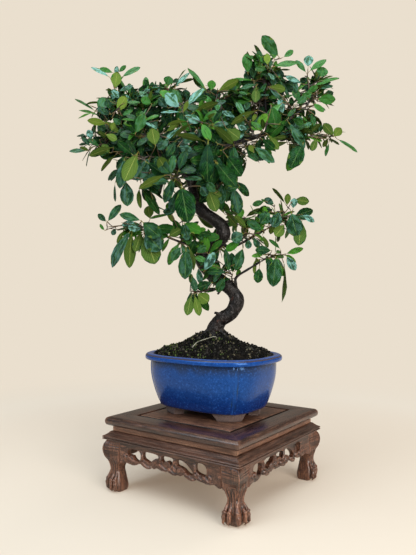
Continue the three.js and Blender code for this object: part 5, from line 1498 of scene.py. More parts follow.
shown_leaves = {
    # The leaves that stand out in the photograph, by how they look in it: the picture's x and y of
    # a leaf's foot and of its tip, its width there, and how far in front of the trunk it hangs
    "sheen": [
        (110, 77.5, 91.4, 66.3, 5, 6), (116, 76, 117, 66, 5, 4), (120, 98.5, 112, 89.5, 7, 12),
        (124, 105, 127.5, 94.5, 5, 8), (158, 129.5, 146, 121, 4, 50),
        (174.5, 87.5, 188, 71.2, 5, 12), (180.5, 108.5, 165, 93, 12, 60),
        (185.5, 107, 203, 86.5, 7, 56), (181.5, 112, 160.5, 111.7, 2.6, 62),
        (183.5, 115, 199.5, 121.5, 8, 66), (182, 126, 164, 139, 4, 58),
        (283, 114.5, 279.5, 99, 8, 30), (308, 67.5, 309, 54.8, 10, 4),
        (302.5, 84, 286.5, 75, 6, 10), (302, 214.5, 314.5, 221.5, 6, 26),
        (286, 255.5, 295.5, 270, 8.5, 26), (92, 140, 88, 129.5, 7, 8),
        (203.5, 272, 214.5, 252, 9.5, 44), (136, 222, 121.5, 224.5, 6, 18),
        (142, 229, 128, 227, 8, 24), (293, 209, 294.5, 198, 7, 20), (236, 118, 222, 111, 6, 30),
        (248, 129, 238, 127, 5, 44), (245, 133, 236, 139, 5, 40),
    ],
    "plain": [
        (208.5, 139, 205, 181.5, 14.5, 88), (181, 184, 188, 222.5, 19, 84),
        (226, 155, 241, 175.5, 15, 56), (261.5, 138, 275, 150, 8, 40), (176, 140, 167, 156, 8, 60),
    ],
    "dark": [
        (271, 104, 276, 127.5, 14, 44), (215, 161, 236, 186.5, 14, 74),
        (233.5, 186, 239, 213.5, 12, 48), (222, 181.5, 221, 204, 9, 52),
        (226, 181.5, 228, 202, 6, 48), (200, 186, 207, 195, 9, 66), (245, 146, 258, 160.5, 8, 40),
        (252.5, 146, 275.5, 161, 10, 46), (304, 141.5, 290.5, 167.5, 16, 40),
        (288, 121.5, 306.5, 146, 10, 44), (319, 89, 333, 84.5, 4.5, 14),
        (317, 105.5, 325.5, 110, 3, 14), (311, 111.5, 315, 125, 5.5, 20),
        (291, 211, 297, 236.5, 16.5, 40), (280.5, 211, 273, 226.5, 11, 38),
        (274.5, 204.5, 264.5, 198.5, 7, 26), (244, 233, 232, 240, 12, 42),
        (224, 246, 230.5, 270, 8, 42), (132, 229, 107, 264, 11, 22), (144, 231, 161, 250, 20, 30),
        (125, 157, 119, 188, 12, 50), (126, 180, 127.5, 205.5, 13.5, 44),
        (150, 157, 135, 180, 14, 62), (87, 151, 69.2, 150.6, 5, 2), (90.5, 147, 82.5, 136.5, 5, 6),
        (106.5, 222, 98, 214, 6, 6), (116, 228.5, 112, 235, 5.5, 8),
        (115, 183.5, 113.5, 201.5, 3, 30), (176, 212, 163, 211.5, 7, 36),
        (184.5, 222, 187, 240.5, 9, 44), (213, 282, 197, 288, 9, 34), (98, 111, 104, 97, 9, 12),
        (110, 110, 107, 98.5, 7, 10), (111, 114.5, 97, 108, 7, 14), (150, 87, 144, 79.5, 5, 10),
        (172, 83, 178, 79, 4, 10), (118, 92, 132.4, 84.2, 5, 8), (259.5, 267, 257.5, 283, 9.5, 30),
        (258, 84, 240.5, 87, 4.5, 12), (279, 78.5, 290.5, 97, 4, 14), (253, 237, 259, 248, 6, 32),
        (249, 239, 248, 248.5, 7, 32), (178, 146, 192, 152, 9, 70), (196, 131, 184, 143, 9, 64),
        (170, 139, 158, 149, 8, 60), (232, 128, 222, 137, 8, 56), (158, 120, 150, 131, 8, 40),
        (168, 108, 158, 98, 8, 36), (192, 100, 207, 97, 7, 34), (268, 87, 287, 104, 6, 26),
        (198, 267, 201, 284, 7, 30),
    ],
    "green": [
        (113.6, 73, 99.7, 67.8, 5.7, 2), (118.4, 72.5, 125.8, 65.4, 4.5, 2),
        (121.2, 77.4, 139.9, 66.5, 6, 6), (95, 111, 76, 96.6, 3.4, 2),
        (99.5, 115.8, 79, 107.9, 3.4, 4), (121.5, 116, 132.3, 109.3, 5, 16),
        (135, 134.5, 144.5, 113.8, 10, 58), (167, 86, 169.5, 76, 10, 12),
        (206, 89, 188.5, 66.8, 5.2, 14), (279.5, 57.5, 262, 35.6, 12.5, 2),
        (283, 57.5, 294, 50, 6, 2), (248, 74.5, 246.5, 52.5, 10.5, 12),
        (308.5, 72, 325.8, 57.8, 7.5, 6), (320, 78, 324, 66.5, 12, 8), (312, 87, 338.5, 75, 5, 10),
        (316.5, 99, 335.5, 99.5, 10, 18), (329, 142.5, 325.3, 156, 4, 20),
        (336.5, 138.5, 358.2, 151.4, 4, 4), (265, 201, 252.5, 205, 6, 26),
        (270, 211.5, 261, 223, 12, 36), (272, 250.5, 255.5, 250, 9, 40),
        (276, 255, 273, 286.5, 15, 40), (243.5, 247, 235, 269.5, 11, 40),
        (228, 272.5, 206.5, 269.5, 7, 46), (225, 277, 217, 292, 8.5, 40),
        (107, 222.5, 120.5, 204.5, 8.5, 10), (141.5, 221, 160, 237, 15, 40),
        (181.5, 246, 171.5, 260.5, 8.5, 40), (186, 247.5, 185, 279, 14, 46),
        (171.5, 181.5, 147.5, 181, 8, 82), (170.5, 175.5, 173.5, 154.5, 8, 80),
        (181, 179, 202, 177, 4.5, 84), (306.5, 73, 296, 60, 6, 8), (272, 67, 298, 59.5, 7, 16),
        (254, 80, 232, 78, 3, 10), (192, 275, 196, 291, 7, 34), (141.5, 189, 161, 212.5, 9, 46),
        (263, 231, 247, 221, 9, 36), (280.5, 249.5, 270.5, 238, 4.5, 34),
        (216, 193, 207, 183, 8, 70), (240, 187, 226, 190, 6, 50), (313, 93, 302, 98, 8, 22),
        (196, 253, 206, 246, 8, 42), (178, 118, 190, 130, 8, 60), (152, 104, 141, 98, 8, 28),
        (306, 93, 318, 86, 6, 16), (100, 147, 88, 138, 6, 8), (312, 103, 324, 111, 6, 20),
        (296, 104, 307, 97, 7, 18), (292, 118, 303, 124, 7, 30), (112, 118, 120, 124, 6, 24),
        (214, 105, 203, 95, 6, 24), (211, 91, 212, 80, 9, 12),
    ],
    "under": [
        (114.5, 88.9, 117.4, 72.1, 11, 10), (112, 90.5, 105.5, 89.3, 2, 4),
        (155.5, 146.5, 152, 128.5, 12, 76), (187, 121.5, 167.5, 123, 5, 60),
        (191, 114.5, 217.5, 100, 7.5, 56), (192, 123.5, 171, 135.8, 4.5, 62),
        (205, 141.5, 178, 132.5, 7, 74), (211.5, 125, 235.2, 142, 9, 66),
        (226, 128, 240, 139, 12, 60), (208, 188, 216.5, 212, 12, 60),
        (317, 137, 311.5, 151.5, 7, 24), (268, 134.5, 279.5, 149.5, 8, 40),
        (272.5, 138, 287, 136.5, 5, 36), (217, 92, 238, 79, 9.5, 20),
        (256.5, 85, 255.5, 103, 9, 18), (268, 86.5, 286, 89.5, 8, 18),
        (258, 110, 229.5, 121.5, 8, 44), (183, 113, 187.5, 101, 4.5, 64),
        (285.5, 204, 273, 187.5, 4, 12), (293.5, 200, 309, 201.5, 9, 18),
        (302, 220, 298.5, 246, 13, 34), (285, 224, 275, 236.5, 11, 32),
        (284, 264, 286, 302, 4.5, 26), (262.5, 235, 268.5, 247.5, 5, 32),
        (247, 229, 235, 215, 7, 36), (132, 231, 127, 267.5, 13.5, 18),
        (124, 230, 116.5, 243, 5, 14), (142, 231, 134.5, 252, 10, 16),
        (144, 233, 155.5, 264.5, 20, 20), (150, 219.5, 148, 206, 10, 20),
        (168, 236.5, 181, 229, 9, 40), (189, 247, 196, 270, 6, 38),
        (138.5, 151, 123.5, 181.5, 14, 72), (115.5, 155, 99.5, 169.5, 5, 22),
        (139.5, 187, 138.5, 208.5, 6, 40), (113.5, 147, 89, 155, 9, 30),
        (90, 151, 80, 146.5, 4, 2), (191.5, 294.5, 187, 315.5, 9.5, 34),
        (334, 136.5, 323.5, 123.5, 9, 16), (274.5, 70, 290.5, 69, 2, 8),
        (166, 132, 178, 122, 6, 56), (105, 134, 118, 140, 7, 30), (110, 153, 102, 145, 8, 30),
        (207, 191, 222, 196, 8, 56), (226, 213, 238, 227, 8, 16), (196, 215, 214, 227, 9, -14),
        (104, 121, 120, 131, 7, 16),
    ],
    "young": [
        (117, 112.5, 125.5, 96.3, 10, 18), (108, 124, 88, 119.5, 8, 24),
        (111.5, 131.5, 114, 122, 5, 26), (267.5, 65.5, 267, 53.5, 7, 16),
        (287, 206, 288, 193.5, 6.5, 16), (333.5, 137, 341, 128, 9, 14),
        (167, 174.5, 137.5, 186, 8, 86), (194.5, 295, 200, 315.8, 8.5, 38),
        (197, 293, 208.5, 302, 12.5, 30), (254, 153, 249, 145, 5, 46), (252, 122, 256, 114, 4, 46),
    ],
}
crown_edge = [
    # round the dense middle of the crown, in the picture
    (94, 112), (106, 100), (128, 94), (152, 86), (192, 86), (216, 94), (244, 86), (254, 66),
    (284, 66), (300, 88), (318, 84), (326, 100), (314, 128), (298, 138), (270, 136), (258, 146),
    (240, 162), (222, 182), (204, 178), (190, 160), (152, 164), (120, 158), (100, 148), (92, 132),
]
clear_spots = [
    # picture x and y and radius of places that stay open between and round the sprays
    (172, 70, 6), (159, 76, 5), (220, 77, 8), (98, 87, 6), (90, 97, 6), (83, 108, 5), (84, 129, 5),
    (97, 161, 6), (106, 167, 6), (240, 62, 6), (292, 92, 4), (343, 124, 5), (284, 151, 7),
    (252, 167, 8), (305, 158, 5), (318, 156, 6), (334, 150, 5), (104, 232, 5), (168, 222, 5),
    (174, 240, 4), (178, 287, 7), (290, 247, 6), (221, 263, 5), (244, 277, 6), (184, 213, 3),
    (347, 137, 4), (330, 118, 5), (206, 222, 6), (252, 285, 5), (272, 178, 9), (104, 192, 8),
    (212, 298, 6), (104, 83, 4), (107, 93, 3), (135, 83, 4), (164, 76, 4), (184, 73, 4),
    (186, 84, 3), (195, 86, 4), (205, 75, 5), (212, 77, 4), (239, 72, 5), (230, 96, 3),
    (291, 82, 4), (297, 73, 4), (325, 108, 4), (320, 114, 4), (289, 142, 4), (317, 146, 4),
    (250, 157, 5), (270, 161, 3), (243, 183, 4), (246, 203, 5), (247, 213, 5), (278, 201, 4),
    (304, 207, 4), (284, 234, 3), (277, 248, 3), (251, 262, 5), (250, 252, 3), (232, 270, 3),
    (238, 281, 4), (184, 282, 4), (183, 296, 5), (205, 308, 4), (167, 224, 5), (176, 238, 4),
    (173, 248, 4), (124, 218, 4), (119, 221, 3), (93, 157, 4), (86, 161, 4), (112, 170, 4),
    (116, 160, 3), (165, 205, 3), (228, 205, 2), (222, 150, 4), (231, 147, 6), (240, 144, 6),
    (250, 141, 5), (261, 137, 4), (300, 112, 2.5), (307, 107, 2.5), (213, 213, 5), (221, 221, 5),
    (223, 232, 5), (218, 242, 4), (234, 287, 8), (238, 300, 8), (226, 312, 8),
]
picture_centre = (208, 277.5)
# a way that rises this steeply has no level way beside it that can be told
steep_from = 0.85
# shoots whose ends stand further back and higher than this are in the crown's shade
shade_behind = -34
shade_above = 470
# rows of the picture, and its column to the right, between which the crown's underside is darkest
underside_top = 130
underside_foot = 192
underside_right = 262


def unit(vector):
    return vector / np.linalg.norm(vector)


def square_to(way, face):
    """A face's way, turned square to another way"""
    return unit(face - way * np.dot(face, way))


def across_ways(way, outward):
    """Two ways square to a way and to each other, the first one level unless the way is steep"""
    first = unit(np.cross(up if abs(way[2]) < steep_from else outward, way))
    return first, np.cross(way, first)


def draws_from(seed):
    """A row of even draws from 0 to 1, the same for the same seed"""
    state = seed
    while True:
        state = (state * 1664525 + 1013904223) % 2 ** 32
        yield state / 2 ** 32


def bowed(start, heading, end, t):
    """A point on a stem that leaves its start along a heading and bends to its end"""
    knee = start + heading * np.linalg.norm(end - start) * 0.35
    return start * (1 - t) ** 2 + knee * 2 * t * (1 - t) + end * t * t


def on_stem(stem, t):
    """A point on a grown stem, from its start at 0 to its end at 1"""
    start, heading, _, chords = stem
    return bowed(start, heading, chords[-1], t)


def on_chords(chords, t):
    k = min(int(t * (len(chords) - 1)), len(chords) - 2)
    share = t * (len(chords) - 1) - k
    return chords[k] * (1 - share) + chords[k + 1] * share, unit(chords[k + 1] - chords[k])


def grow_stems(branch, along, tips):
    """The spray's main stem and its side shoots: start, heading, tip, chords"""
    line = tree_line(branches[branch])
    on_branch = catmull(line, along)
    ends = [np.array(tip[:3], float) for tip in tips]
    if along == 1:
        heading = unit(catmull(line, 1) - catmull(line, 1 - 1e-4))
    else:
        heading = unit(sum(ends) / len(ends) - on_branch)
    start = on_branch + heading * ((0 if along == 1 else stub_reach) + stem_clear)
    main = [bowed(start, heading, ends[0], k / 3) for k in range(4)]
    stems = [(start, heading, tips[0], main)]
    whole = ends[0] - start
    for tip, end in zip(tips[1:], ends[1:]):
        share = np.dot(end - start, whole) / np.dot(whole, whole)
        foot, chord_way = on_chords(main, min(0.8, max(0.15, share - 0.3)))
        leaving = unit(unit(end - foot) + chord_way)
        stems.append((foot, leaving, tip, [bowed(foot, leaving, end, k / 2) for k in range(3)]))
    return stems


def leaf_row(foot, along, face, length, width, bend, fold, tone, age, painted_sheen=None):
    """One leaf for the tree to place, with the nearest of the nine shapes"""
    bend_kind = int(np.argmin([abs(bend - b) for b in bends]))
    fold_kind = int(np.argmin([abs(fold - f) for f in folds]))
    if painted_sheen is None:
        # a few leaves at random get a painted sheen
        painted_sheen = max(0, (tone * 7.3) % 1 - 0.7) * 1.5
    return {"place": foot, "along": along, "face": face, "size": (width, length, length),
            "shape": bend_kind * 3 + fold_kind, "tone": tone, "age": age, "painted_sheen": painted_sheen}


def rosette(stem, draw):
    """The leaves at a stem's end. A leaf grows from the side of the stem that looks most the way
    the leaf goes, and each further leaf of that side stands one row back."""
    _, _, tip, chords = stem
    count, length, lift = tip[3:]
    end = chords[-1]
    forward = end - chords[-2]
    stretch = min(2, 0.85 * np.linalg.norm(forward) / count)
    forward = unit(forward)
    outward = unit(np.array([end[0] - crown_axis[0], end[1] - crown_axis[1], 0]))
    side_a, side_b = across_ways(forward, outward)
    start = next(draw) * 2 * math.pi
    normals = [side_a * math.cos(start + (2 * k + 1) * math.pi / 3)
               + side_b * math.sin(start + (2 * k + 1) * math.pi / 3) for k in range(3)]
    axis = unit(forward * 0.7 + up * lift + outward * 0.25)
    across_a, across_b = across_ways(axis, outward)
    taken = [0, 0, 0, 0]
    rows = []
    for i in range(count):
        age = (i + 0.5) / count
        turn = start + i * golden_angle + (next(draw) - 0.5) * 0.6
        spread = math.radians(24 + 54 * age + (next(draw) - 0.5) * 24)
        size = length * (0.72 + 0.28 * age + (next(draw) - 0.5) * 0.24)
        along = unit(axis * math.cos(spread) + across_a * math.sin(spread) * math.cos(turn)
                     + across_b * math.sin(spread) * math.sin(turn))
        along = unit(along * trained_flat)
        face = axis * 0.5 + up * 0.5 + outward * 0.3 + across_a * (next(draw) - 0.5) * 0.5
        face = face + to_light
        face = square_to(along, face)
        leans = [np.dot(normal, along) for normal in normals]
        lean = max(leans)
        side = stem_end if lean < least_lean and taken[stem_end] == 0 else leans.index(lean)
        row = taken[side]
        taken[side] += 1
        foot = end - forward * (0 if side == stem_end else stretch * (row + 0.5))
        width = size * (0.36 + 0.11 * next(draw))
        bend = 0.05 + 0.13 * next(draw)
        fold = 0.1 + 0.22 * next(draw)
        tone = next(draw)
        rows.append(leaf_row(foot, along, face, size, width, bend, fold, tone, age))
    return rows


def stem_leaves(stem, draw, first, spacing):
    """Single leaves along a stem below its rosette, each a golden angle on from the last"""
    start, _, tip, chords = stem
    end = chords[-1]
    length = np.linalg.norm(end - start)
    count = int((length * (1 - first) - 6) / spacing)
    outward = unit(np.array([end[0] - crown_axis[0], end[1] - crown_axis[1], 0.01]))
    rows = []
    turn = next(draw) * 2 * math.pi
    for i in range(max(0, count)):
        t = first + (i + 0.3 + 0.5 * next(draw)) * spacing / length
        foot = on_stem(stem, t)
        ahead = unit(on_stem(stem, min(1, t + 0.02)) - on_stem(stem, t - 0.02))
        side_a, side_b = across_ways(ahead, outward)
        turn += golden_angle
        spread = math.radians(52 + 26 * next(draw))
        along = ahead * math.cos(spread)
        along = along + (side_a * math.cos(turn) + side_b * math.sin(turn)) * math.sin(spread)
        along = unit((along - up * 0.35 * next(draw)) * trained_flat)
        face = up * 0.7 + ahead * 0.3 + outward * 0.3 + side_a * (next(draw) - 0.5) * 0.7 + to_light
        face = square_to(along, face)
        size = tip[4] * (0.62 + 0.36 * next(draw))
        rows.append(leaf_row(foot, along, face, size, size * (0.36 + 0.11 * next(draw)),
                             0.05 + 0.13 * next(draw), 0.1 + 0.22 * next(draw), next(draw), 1))
    return rows


def seen_at(x, y, nearer):
    """The place in the tree's frame that shows at a spot of the 416 x 555 picture"""
    across = (x - picture_centre[0]) / picture_focus
    rise = (picture_centre[1] - y) / picture_focus
    way = np.array([across, math.cos(camera_lean) - rise * math.sin(camera_lean),
                    math.sin(camera_lean) + rise * math.cos(camera_lean)])
    return camera_spot + way * (-nearer - camera_spot[1]) / way[1]


def seen_spot(place):
    """The spot of the picture at which a place in the tree's frame shows, and its distance"""
    away = np.asarray(place, float) - camera_spot
    deep = away[1] * math.cos(camera_lean) + away[2] * math.sin(camera_lean)
    rise = away[2] * math.cos(camera_lean) - away[1] * math.sin(camera_lean)
    spot = np.array([picture_centre[0] + picture_focus * away[0] / deep,
                     picture_centre[1] - picture_focus * rise / deep])
    return spot, deep


def shown_leaf(row, look, draw):
    """A leaf that shows in the picture as its row says, turned on its midrib until it looks as
    wide as it does there, its upper face or its underside to the camera"""
    foot_x, foot_y, tip_x, tip_y, width, nearer = row
    foot = seen_at(foot_x, foot_y, nearer)
    tip = seen_at(tip_x, tip_y, nearer + 8 * (next(draw) - 0.3))
    length = np.linalg.norm(tip - foot)
    along = (tip - foot) / length
    to_camera = unit(camera_spot - foot)
    facing = square_to(along, to_camera)
    wide = width * 1.5
    share = min(1, wide / (leaf_slimness * length))
    side = np.cross(along, facing)
    if side[2] < 0:
        side = -side
    towards = -1 if look in ("under", "young") else 1
    face = unit(facing * share * towards + side * math.sqrt(1.0001 - share * share))
    tone, spread, painted_sheen = looks[look]
    # painted shade: leaves lower in the picture, under the crown, are painted darker
    lowness = clamped((foot_y - 120) / 50)
    leaf = leaf_row(foot, along, face, length, max(wide, leaf_slimness * length * 0.9),
                    0.05 + 0.1 * next(draw), 0.08 + 0.18 * next(draw),
                    (tone + spread * (next(draw) - 0.5)) * (1 - lower_painted_shade * lowness),
                    0.2 if look == "young" else 1,
                    painted_sheen * (1 if look == "sheen" else next(draw)))
    leaf["seen"] = (np.array([foot_x, foot_y]), np.array([tip_x, tip_y]), width)
    return leaf


def in_clear_spot(place, further=0):
    """Whether a spot of the picture stays open between the sprays"""
    return any(math.hypot(place[0] - x, place[1] - y) < radius + further
               for x, y, radius in clear_spots)


def hides_or_clutters(leaf, shown):
    """Whether a leaf would cover one that shows in the picture, or stand in a clear spot"""
    middle, deep = seen_spot(leaf["place"] + leaf["along"] * leaf["size"][1] * 0.55)
    tip, _ = seen_spot(leaf["place"] + leaf["along"] * leaf["size"][1])
    if in_clear_spot(middle) or in_clear_spot(tip):
        return True
    for other in shown:
        start, end, width = other["seen"]
        line = end - start
        share = clamped(np.dot(middle - start, line) / np.dot(line, line))
        off = np.linalg.norm(middle - start - line * share)
        if off < width / 2 + 3 and deep < seen_spot(other["place"])[1] + 6:
            return True
    return False


leaf_outline = [
    # way along the leaf, half width, thickness, as shares of its length and half width
    [0, 0.05, 0.020], [0.09, 0.045, 0.020], [0.22, 0.42, 0.012], [0.40, 0.84, 0.010],
    [0.60, 1.0, 0.009], [0.79, 0.86, 0.008], [0.93, 0.48, 0.007], [1.0, 0.07, 0.005],
]


def leaf_shape(kind):
    """A closed leaf, 1 m long and 1 m wide before it is scaled, folded along its midrib and bent
    down towards its tip, with four strips on each face"""
    bend = bends[kind // 3]
    fold = folds[kind % 3]
    points = []
    marks = []
    strips = (-1, -0.5, 0, 0.5, 1)
    for t, wide, thick in leaf_outline:
        wave = 0.012 * math.sin(t * 11 + kind * 1.7)
        for level in (1, -1):
            for s in strips:
                x = s * wide / 2
                if level < 0 and abs(s) == 1:
                    continue
                lift = level * thick * math.sqrt(1 - s * s) / 2 if abs(s) < 1 else 0
                arch = -0.05 * wide * (s * s - abs(s) * 0.6)
                cup = abs(x) * fold * leaf_slimness + wave * s * s * (1 if s > 0 else -0.6)
                points.append((x, t, -bend * t * t + cup + arch + lift))
                marks.append(((s + 1) / 2, t))
    per = 8
    faces = []
    under = []
    top = [0, 1, 2, 3, 4]
    below = [0, 5, 6, 7, 4]
    for k in range(len(leaf_outline) - 1):
        for row, is_under in ((top, False), (below, True)):
            for a, b in zip(row, row[1:]):
                face = (k * per + a, k * per + b, (k + 1) * per + b, (k + 1) * per + a)
                faces.append(tuple(reversed(face)) if is_under else face)
                under.append(float(is_under))
    last = (len(leaf_outline) - 1) * per
    rim = [0, 1, 2, 3, 4, 7, 6, 5]
    faces.append(tuple(rim))
    faces.append(tuple(last + i for i in reversed(rim)))
    under += [1.0, 0.0]
    mesh = bpy.data.meshes.new("leaf_shape")
    mesh.from_pydata(points, [], faces)
    uv = mesh.uv_layers.new(name="UVMap")
    for loop in mesh.loops:
        uv.data[loop.index].uv = marks[loop.vertex_index]
    attribute(mesh, "under", "FLOAT", under, "FACE")
    mesh.shade_smooth()
    rims = {0, 4}
    sharp = [edge.vertices[0] % per in rims and edge.vertices[1] % per in rims for edge in mesh.edges]
    attribute(mesh, "sharp_edge", "BOOLEAN", sharp, "EDGE")
    return mesh


leaf_skin = bare_material("leaf_skin")
place = object_coordinates()
uv = output("ShaderNodeUVMap", uv_map="UVMap")
across_leaf, along_leaf, _ = node("ShaderNodeSeparateXYZ", {0: uv}).outputs
tone = read_attribute("tone")
age = read_attribute("age")
under = read_attribute("under")
painted_sheen = read_attribute("painted_sheen")
from_rib = maths("ABSOLUTE", minus(across_leaf, 0.5))
midrib = between(from_rib, 0.045, 0.012)
slant = minus(times(along_leaf, 62.0), times(from_rib, 46.0))
side_vein = between(maths("SINE", slant), 0.72, 1.0)
side_vein = times(side_vein, between(from_rib, 0.46, 0.30))
patch = noise_texture(place, 140, 3, 0.6)
cells = noise_texture(place, 1300, 2, 0.6)
upper = blended(between(tone, 0.10, 0.75), "#08210d", "#376e1f")
upper = stained(upper, "#4a7d22", tone, 0.80, 0.98)
# painted shade: a tone below 0 turns the upper face nearly black, for leaves deep in the crown's shade
upper = stained(upper, "#030a05", tone, 0.0, -0.5)
young = times(between(age, 0.45, 0.05), between(tone, 0.2, 0.8))
upper = blended(times(young, 0.75), upper, "#5d8a28")
upper = stained(upper, "#2a661c", patch, 0.40, 0.70, 0.35)
on_leaf = output("ShaderNodeCombineXYZ", {0: across_leaf, 1: along_leaf, 2: times(tone, 37)})
# painted sheen: a pale teal wash in smooth patches along the upper face, for the sky's reflection; the
# same noise darkens the leaf where the sheen is thinnest
sheen_patch = noise_texture(on_leaf, 3.4, 3, 0.55, 0.5)
sheen_mask = times(painted_sheen, plus(0.15, between(sheen_patch, 0.42, 0.62)), True)
sheen_mask = times(sheen_mask, minus(1.0, times(midrib, 0.6)))
upper = blended(sheen_mask, upper, "#6f9c95")
upper = blended(times(side_vein, 0.16), upper, "#5f9150")
upper = blended(times(midrib, 0.22), upper, "#7fa257")
upper = stained(upper, "#0a1a0c", sheen_patch, 0.50, 0.36, 0.45)
lower = blended(tone, "#344c1a", "#698230")
lower = blended(times(side_vein, 0.25), lower, "#9bab5a")
lower = blended(times(midrib, 0.4), lower, "#a3aa5c")
lower = stained(lower, "#2c4414", sheen_patch, 0.48, 0.28, 0.35)
leaf_colour = blended(under, upper, lower)
stalk = between(along_leaf, 0.15, 0.07)
stalk_colour = blended(tone, "#7c7f38", "#8c5434")
leaf_colour = blended(stalk, leaf_colour, stalk_colour)
leaf_rough = ranged(under, 0.16, 0.6)
leaf_rough = plus(leaf_rough, times(patch, 0.12))
swell = noise_texture(place, 210, 2, 0.5)
relief = plus(times(cells, 0.2), times(swell, 2.2))
relief = minus(relief, plus(midrib, times(side_vein, 0.5)))
leaf_bump = bumped(relief, 0.55, 0.0005)
leaf_shader = coated(leaf_colour, leaf_rough, leaf_bump, {
    "Specular IOR Level": 0.42, "Specular Tint": (0.12, 0.32, 0.22, 1)})
glow = output("ShaderNodeBsdfTranslucent", {"Color": leaf_colour})
leaf_mix = output("ShaderNodeMixShader", {0: 0.18, 1: leaf_shader, 2: glow})
surfaced(leaf_mix)

twig_bark = bare_material("twig_bark")
place = object_coordinates()
young = read_attribute("young")
specks = noise_texture(place, 900, 3, 0.6)
twig_colour = blended(between(young, 0.35, 0.85), "#1f1612", "#54401f")
twig_colour = stained(twig_colour, "#6f6a30", young, 0.85, 1.0)
twig_colour = stained(twig_colour, "#5c5038", specks, 0.5, 0.7, 0.4)
twig_bump = bumped(specks, 0.5, 0.0003)
surfaced(coated(twig_colour, 0.5, twig_bump))

spray_tree, given = new_tree("spray_growth", [
    ("Leaf shapes", "Collection", None), ("Leaf size", "Float", 1.0), ("Twig sides", "Int", 6),
    ("Leaf skin", "Material", None), ("Twig bark", "Material", None)])
apart = node("GeometryNodeSeparateGeometry", {
    "Geometry": given["Geometry"], "Selection": named("leaf", "BOOLEAN")}, domain="POINT")
stem_curves = output("GeometryNodeMeshToCurve", {0: apart.outputs["Inverted"]})
stem_round = output("GeometryNodeCurvePrimitiveCircle", {
    "Resolution": given["Twig sides"], "Radius": 1.0}, mode="RADIUS")
stem_skin = output("GeometryNodeCurveToMesh", {
    "Curve": stem_curves, "Profile Curve": stem_round,
    "Scale": named("thick"), "Fill Caps": True})
stem_marked = output("GeometryNodeStoreNamedAttribute", {
    "Geometry": stem_skin, "Name": "wood", "Value": 1.0}, data_type="FLOAT", domain="POINT")
leaf_kinds = output("GeometryNodeCollectionInfo", {
    "Collection": given["Leaf shapes"], "Separate Children": True, "Reset Children": True})
leaf_turn = output("FunctionNodeAxesToRotation", {
    "Primary Axis": named("along", "FLOAT_VECTOR"),
    "Secondary Axis": named("face", "FLOAT_VECTOR")}, primary_axis="Y", secondary_axis="Z")
leaf_scale = output("ShaderNodeVectorMath", {
    0: named("size", "FLOAT_VECTOR"), "Scale": given["Leaf size"]}, operation="SCALE")
leaves_set = output("GeometryNodeInstanceOnPoints", {
    "Points": apart.outputs["Selection"], "Instance": leaf_kinds, "Pick Instance": True,
    "Instance Index": named("shape", "INT"), "Rotation": leaf_turn,
    "Scale": leaf_scale})
together = node("GeometryNodeJoinGeometry", {0: leaves_set})
spray_tree.links.new(stem_marked, together.inputs[0])
spray_real = output("GeometryNodeRealizeInstances", {0: together.outputs[0]})
spray_leafed = output("GeometryNodeSetMaterial", {
    "Geometry": spray_real, "Material": given["Leaf skin"]})
is_wood = output("FunctionNodeCompare", {
    0: named("wood"), 1: 0.5}, data_type="FLOAT", operation="GREATER_THAN")
spray_done = output("GeometryNodeSetMaterial", {
    "Geometry": spray_leafed, "Selection": is_wood, "Material": given["Twig bark"]})
node("NodeGroupOutput", {0: spray_done})

leaf_library = shape_library("leaf", [leaf_shape(kind) for kind in range(9)])
shown_draw = draws_from(77)
shown = [shown_leaf(row, look, shown_draw) for look, rows in shown_leaves.items() for row in rows]
inner = []
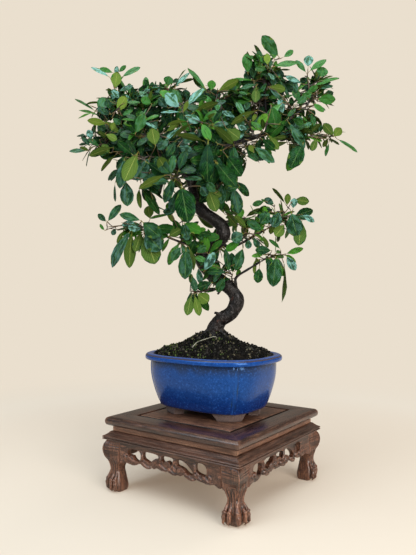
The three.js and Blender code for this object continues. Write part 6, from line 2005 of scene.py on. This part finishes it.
# small leaves on a loose grid of spots fill the dense middle of the crown, painted nearly black as its
# deep shade
for x in range(94, 330, 8):
    for y in range(68, 184, 7):
        spot = (x + 6 * next(shown_draw), y + 5 * next(shown_draw))
        turn = 6.28 * next(shown_draw)
        tip = (spot[0] + 14 * math.cos(turn), spot[1] + 11 * math.sin(turn))
        if inside(spot, crown_edge) and not in_clear_spot(spot, 3) and not in_clear_spot(tip, 1):
            inner.append(shown_leaf((*spot, *tip, 8, 16 * next(shown_draw) - 10), "deep", shown_draw))
grown = [grow_stems(branch, along, tips) for _, branch, along, tips in sprays]
for leaf in shown + inner:
    reach = [min(math.dist(leaf["place"], on_stem(stem, t)) for stem in stems for t in (0.35, 0.7, 1))
             for stems in grown]
    leaf["spray"] = reach.index(min(reach))
for index, (name, branch, along, tips) in enumerate(sprays):
    draw = draws_from(1000 + index * 7919)
    more = draws_from(90001 + index * 7919)
    stems = grown[index]
    leaves = []
    for stem in stems:
        leaves += rosette(stem, draw)
    twigs = []
    for k, stem in enumerate(stems):
        _, heading, tip, chords = stem
        leaves += stem_leaves(stem, more, 0.2 if k else 0.3, 8)
        shaded = chords[-1][1] > shade_behind and chords[-1][2] > shade_above
        for t in shaded_shoots if shaded else inner_shoots:
            foot = on_stem(stem, t)
            turn = next(more) * 2 * math.pi
            sideways = np.array([math.cos(turn), math.sin(turn), 0.5 * next(more) - 0.05])
            tip_place = foot + unit(sideways) * (12 + 10 * next(more))
            leaving = unit(sideways + heading * 0.6)
            shoot = (foot, leaving, [*tip_place, 5, tip[4] * 0.84, tip[5] * 0.5],
                     [bowed(foot, leaving, tip_place, j / 2) for j in range(3)])
            for leaf in rosette(shoot, more):
                # painted shade: the leaves of shoots in the crown's shade are painted darker
                leaf["tone"] *= 0.45 if shaded else 1
                leaves.append(leaf)
            twigs.append(shoot)
    leaves = [leaf for leaf in leaves if not hides_or_clutters(leaf, shown)]
    for leaf in leaves:
        spot, _ = seen_spot(leaf["place"])
        # painted shade: leaves that show in the darkest rows under the crown are painted nearly black,
        # with less painted sheen
        if underside_top < spot[1] < underside_foot and spot[0] < underside_right:
            leaf["tone"] = leaf["tone"] * 0.7 - 0.45
            leaf["painted_sheen"] *= 0.3
    for leaf in shown + inner:
        if leaf["spray"] == index:
            _, k, t = min((math.dist(leaf["place"], on_stem(stem, t)), k, t)
                          for k, stem in enumerate(stems) for t in (0.35, 0.6, 0.85, 1))
            foot = on_stem(stems[k], t)
            way = leaf["place"] - foot
            if np.linalg.norm(way) > 1:
                twigs.append((foot, unit(way + leaf["along"] * -5), None, [foot, leaf["place"]]))
            leaves.append(leaf)
    points = []
    edges = []
    thick = []
    youth = []
    for k, stem in enumerate(stems + twigs):
        radii = main_radii if k == 0 else shoot_radii
        steps = 12 if k < len(stems) else 5
        for step in range(steps + 1):
            t = step / steps
            points.append(on_stem(stem, t))
            knot = 1 + 0.16 * math.sin(step * 2.2 + k)
            bud = 1 if step < steps else 0.45
            thick.append((radii[0] + (radii[1] - radii[0]) * t) * knot * bud * MM)
            youth.append(t * (0.8 if k == 0 else 1))
            if step:
                edges.append((len(points) - 2, len(points) - 1))
    stem_count = len(points)
    every = points + [leaf["place"] for leaf in leaves]
    mesh = bpy.data.meshes.new("spray")
    mesh.from_pydata(in_row(in_stand(every)).tolist(), edges, [])
    level = [(0.0, 0.0, 1.0)] * stem_count
    attribute(mesh, "thick", "FLOAT", thick + [0.0] * len(leaves))
    attribute(mesh, "young", "FLOAT", youth + [0.0] * len(leaves))
    attribute(mesh, "leaf", "BOOLEAN", [False] * stem_count + [True] * len(leaves))
    for key in ("along", "face"):
        attribute(mesh, key, "FLOAT_VECTOR", level + in_stand([leaf[key] for leaf in leaves]).tolist())
    sizes = [tuple(x * MM for x in leaf["size"]) for leaf in leaves]
    attribute(mesh, "size", "FLOAT_VECTOR", level + sizes)
    attribute(mesh, "shape", "INT", [0] * stem_count + [leaf["shape"] for leaf in leaves])
    for key in ("tone", "age", "painted_sheen"):
        attribute(mesh, key, "FLOAT", [0.0] * stem_count + [leaf[key] for leaf in leaves])
    spray_mesh = grown_by(spray_tree, "spray", mesh, {
        "Leaf shapes": leaf_library, "Leaf size": 1.0, "Twig sides": 6, "Leaf skin": leaf_skin,
        "Twig bark": twig_bark})
    set_down(name + "_spray", spray_mesh, leaf_skin, "leaves", "spray_" + name)

for library in (crumbs, tufts, leaf_library):
    for shape in list(library.objects):
        bpy.data.objects.remove(shape)
    bpy.data.collections.remove(library)
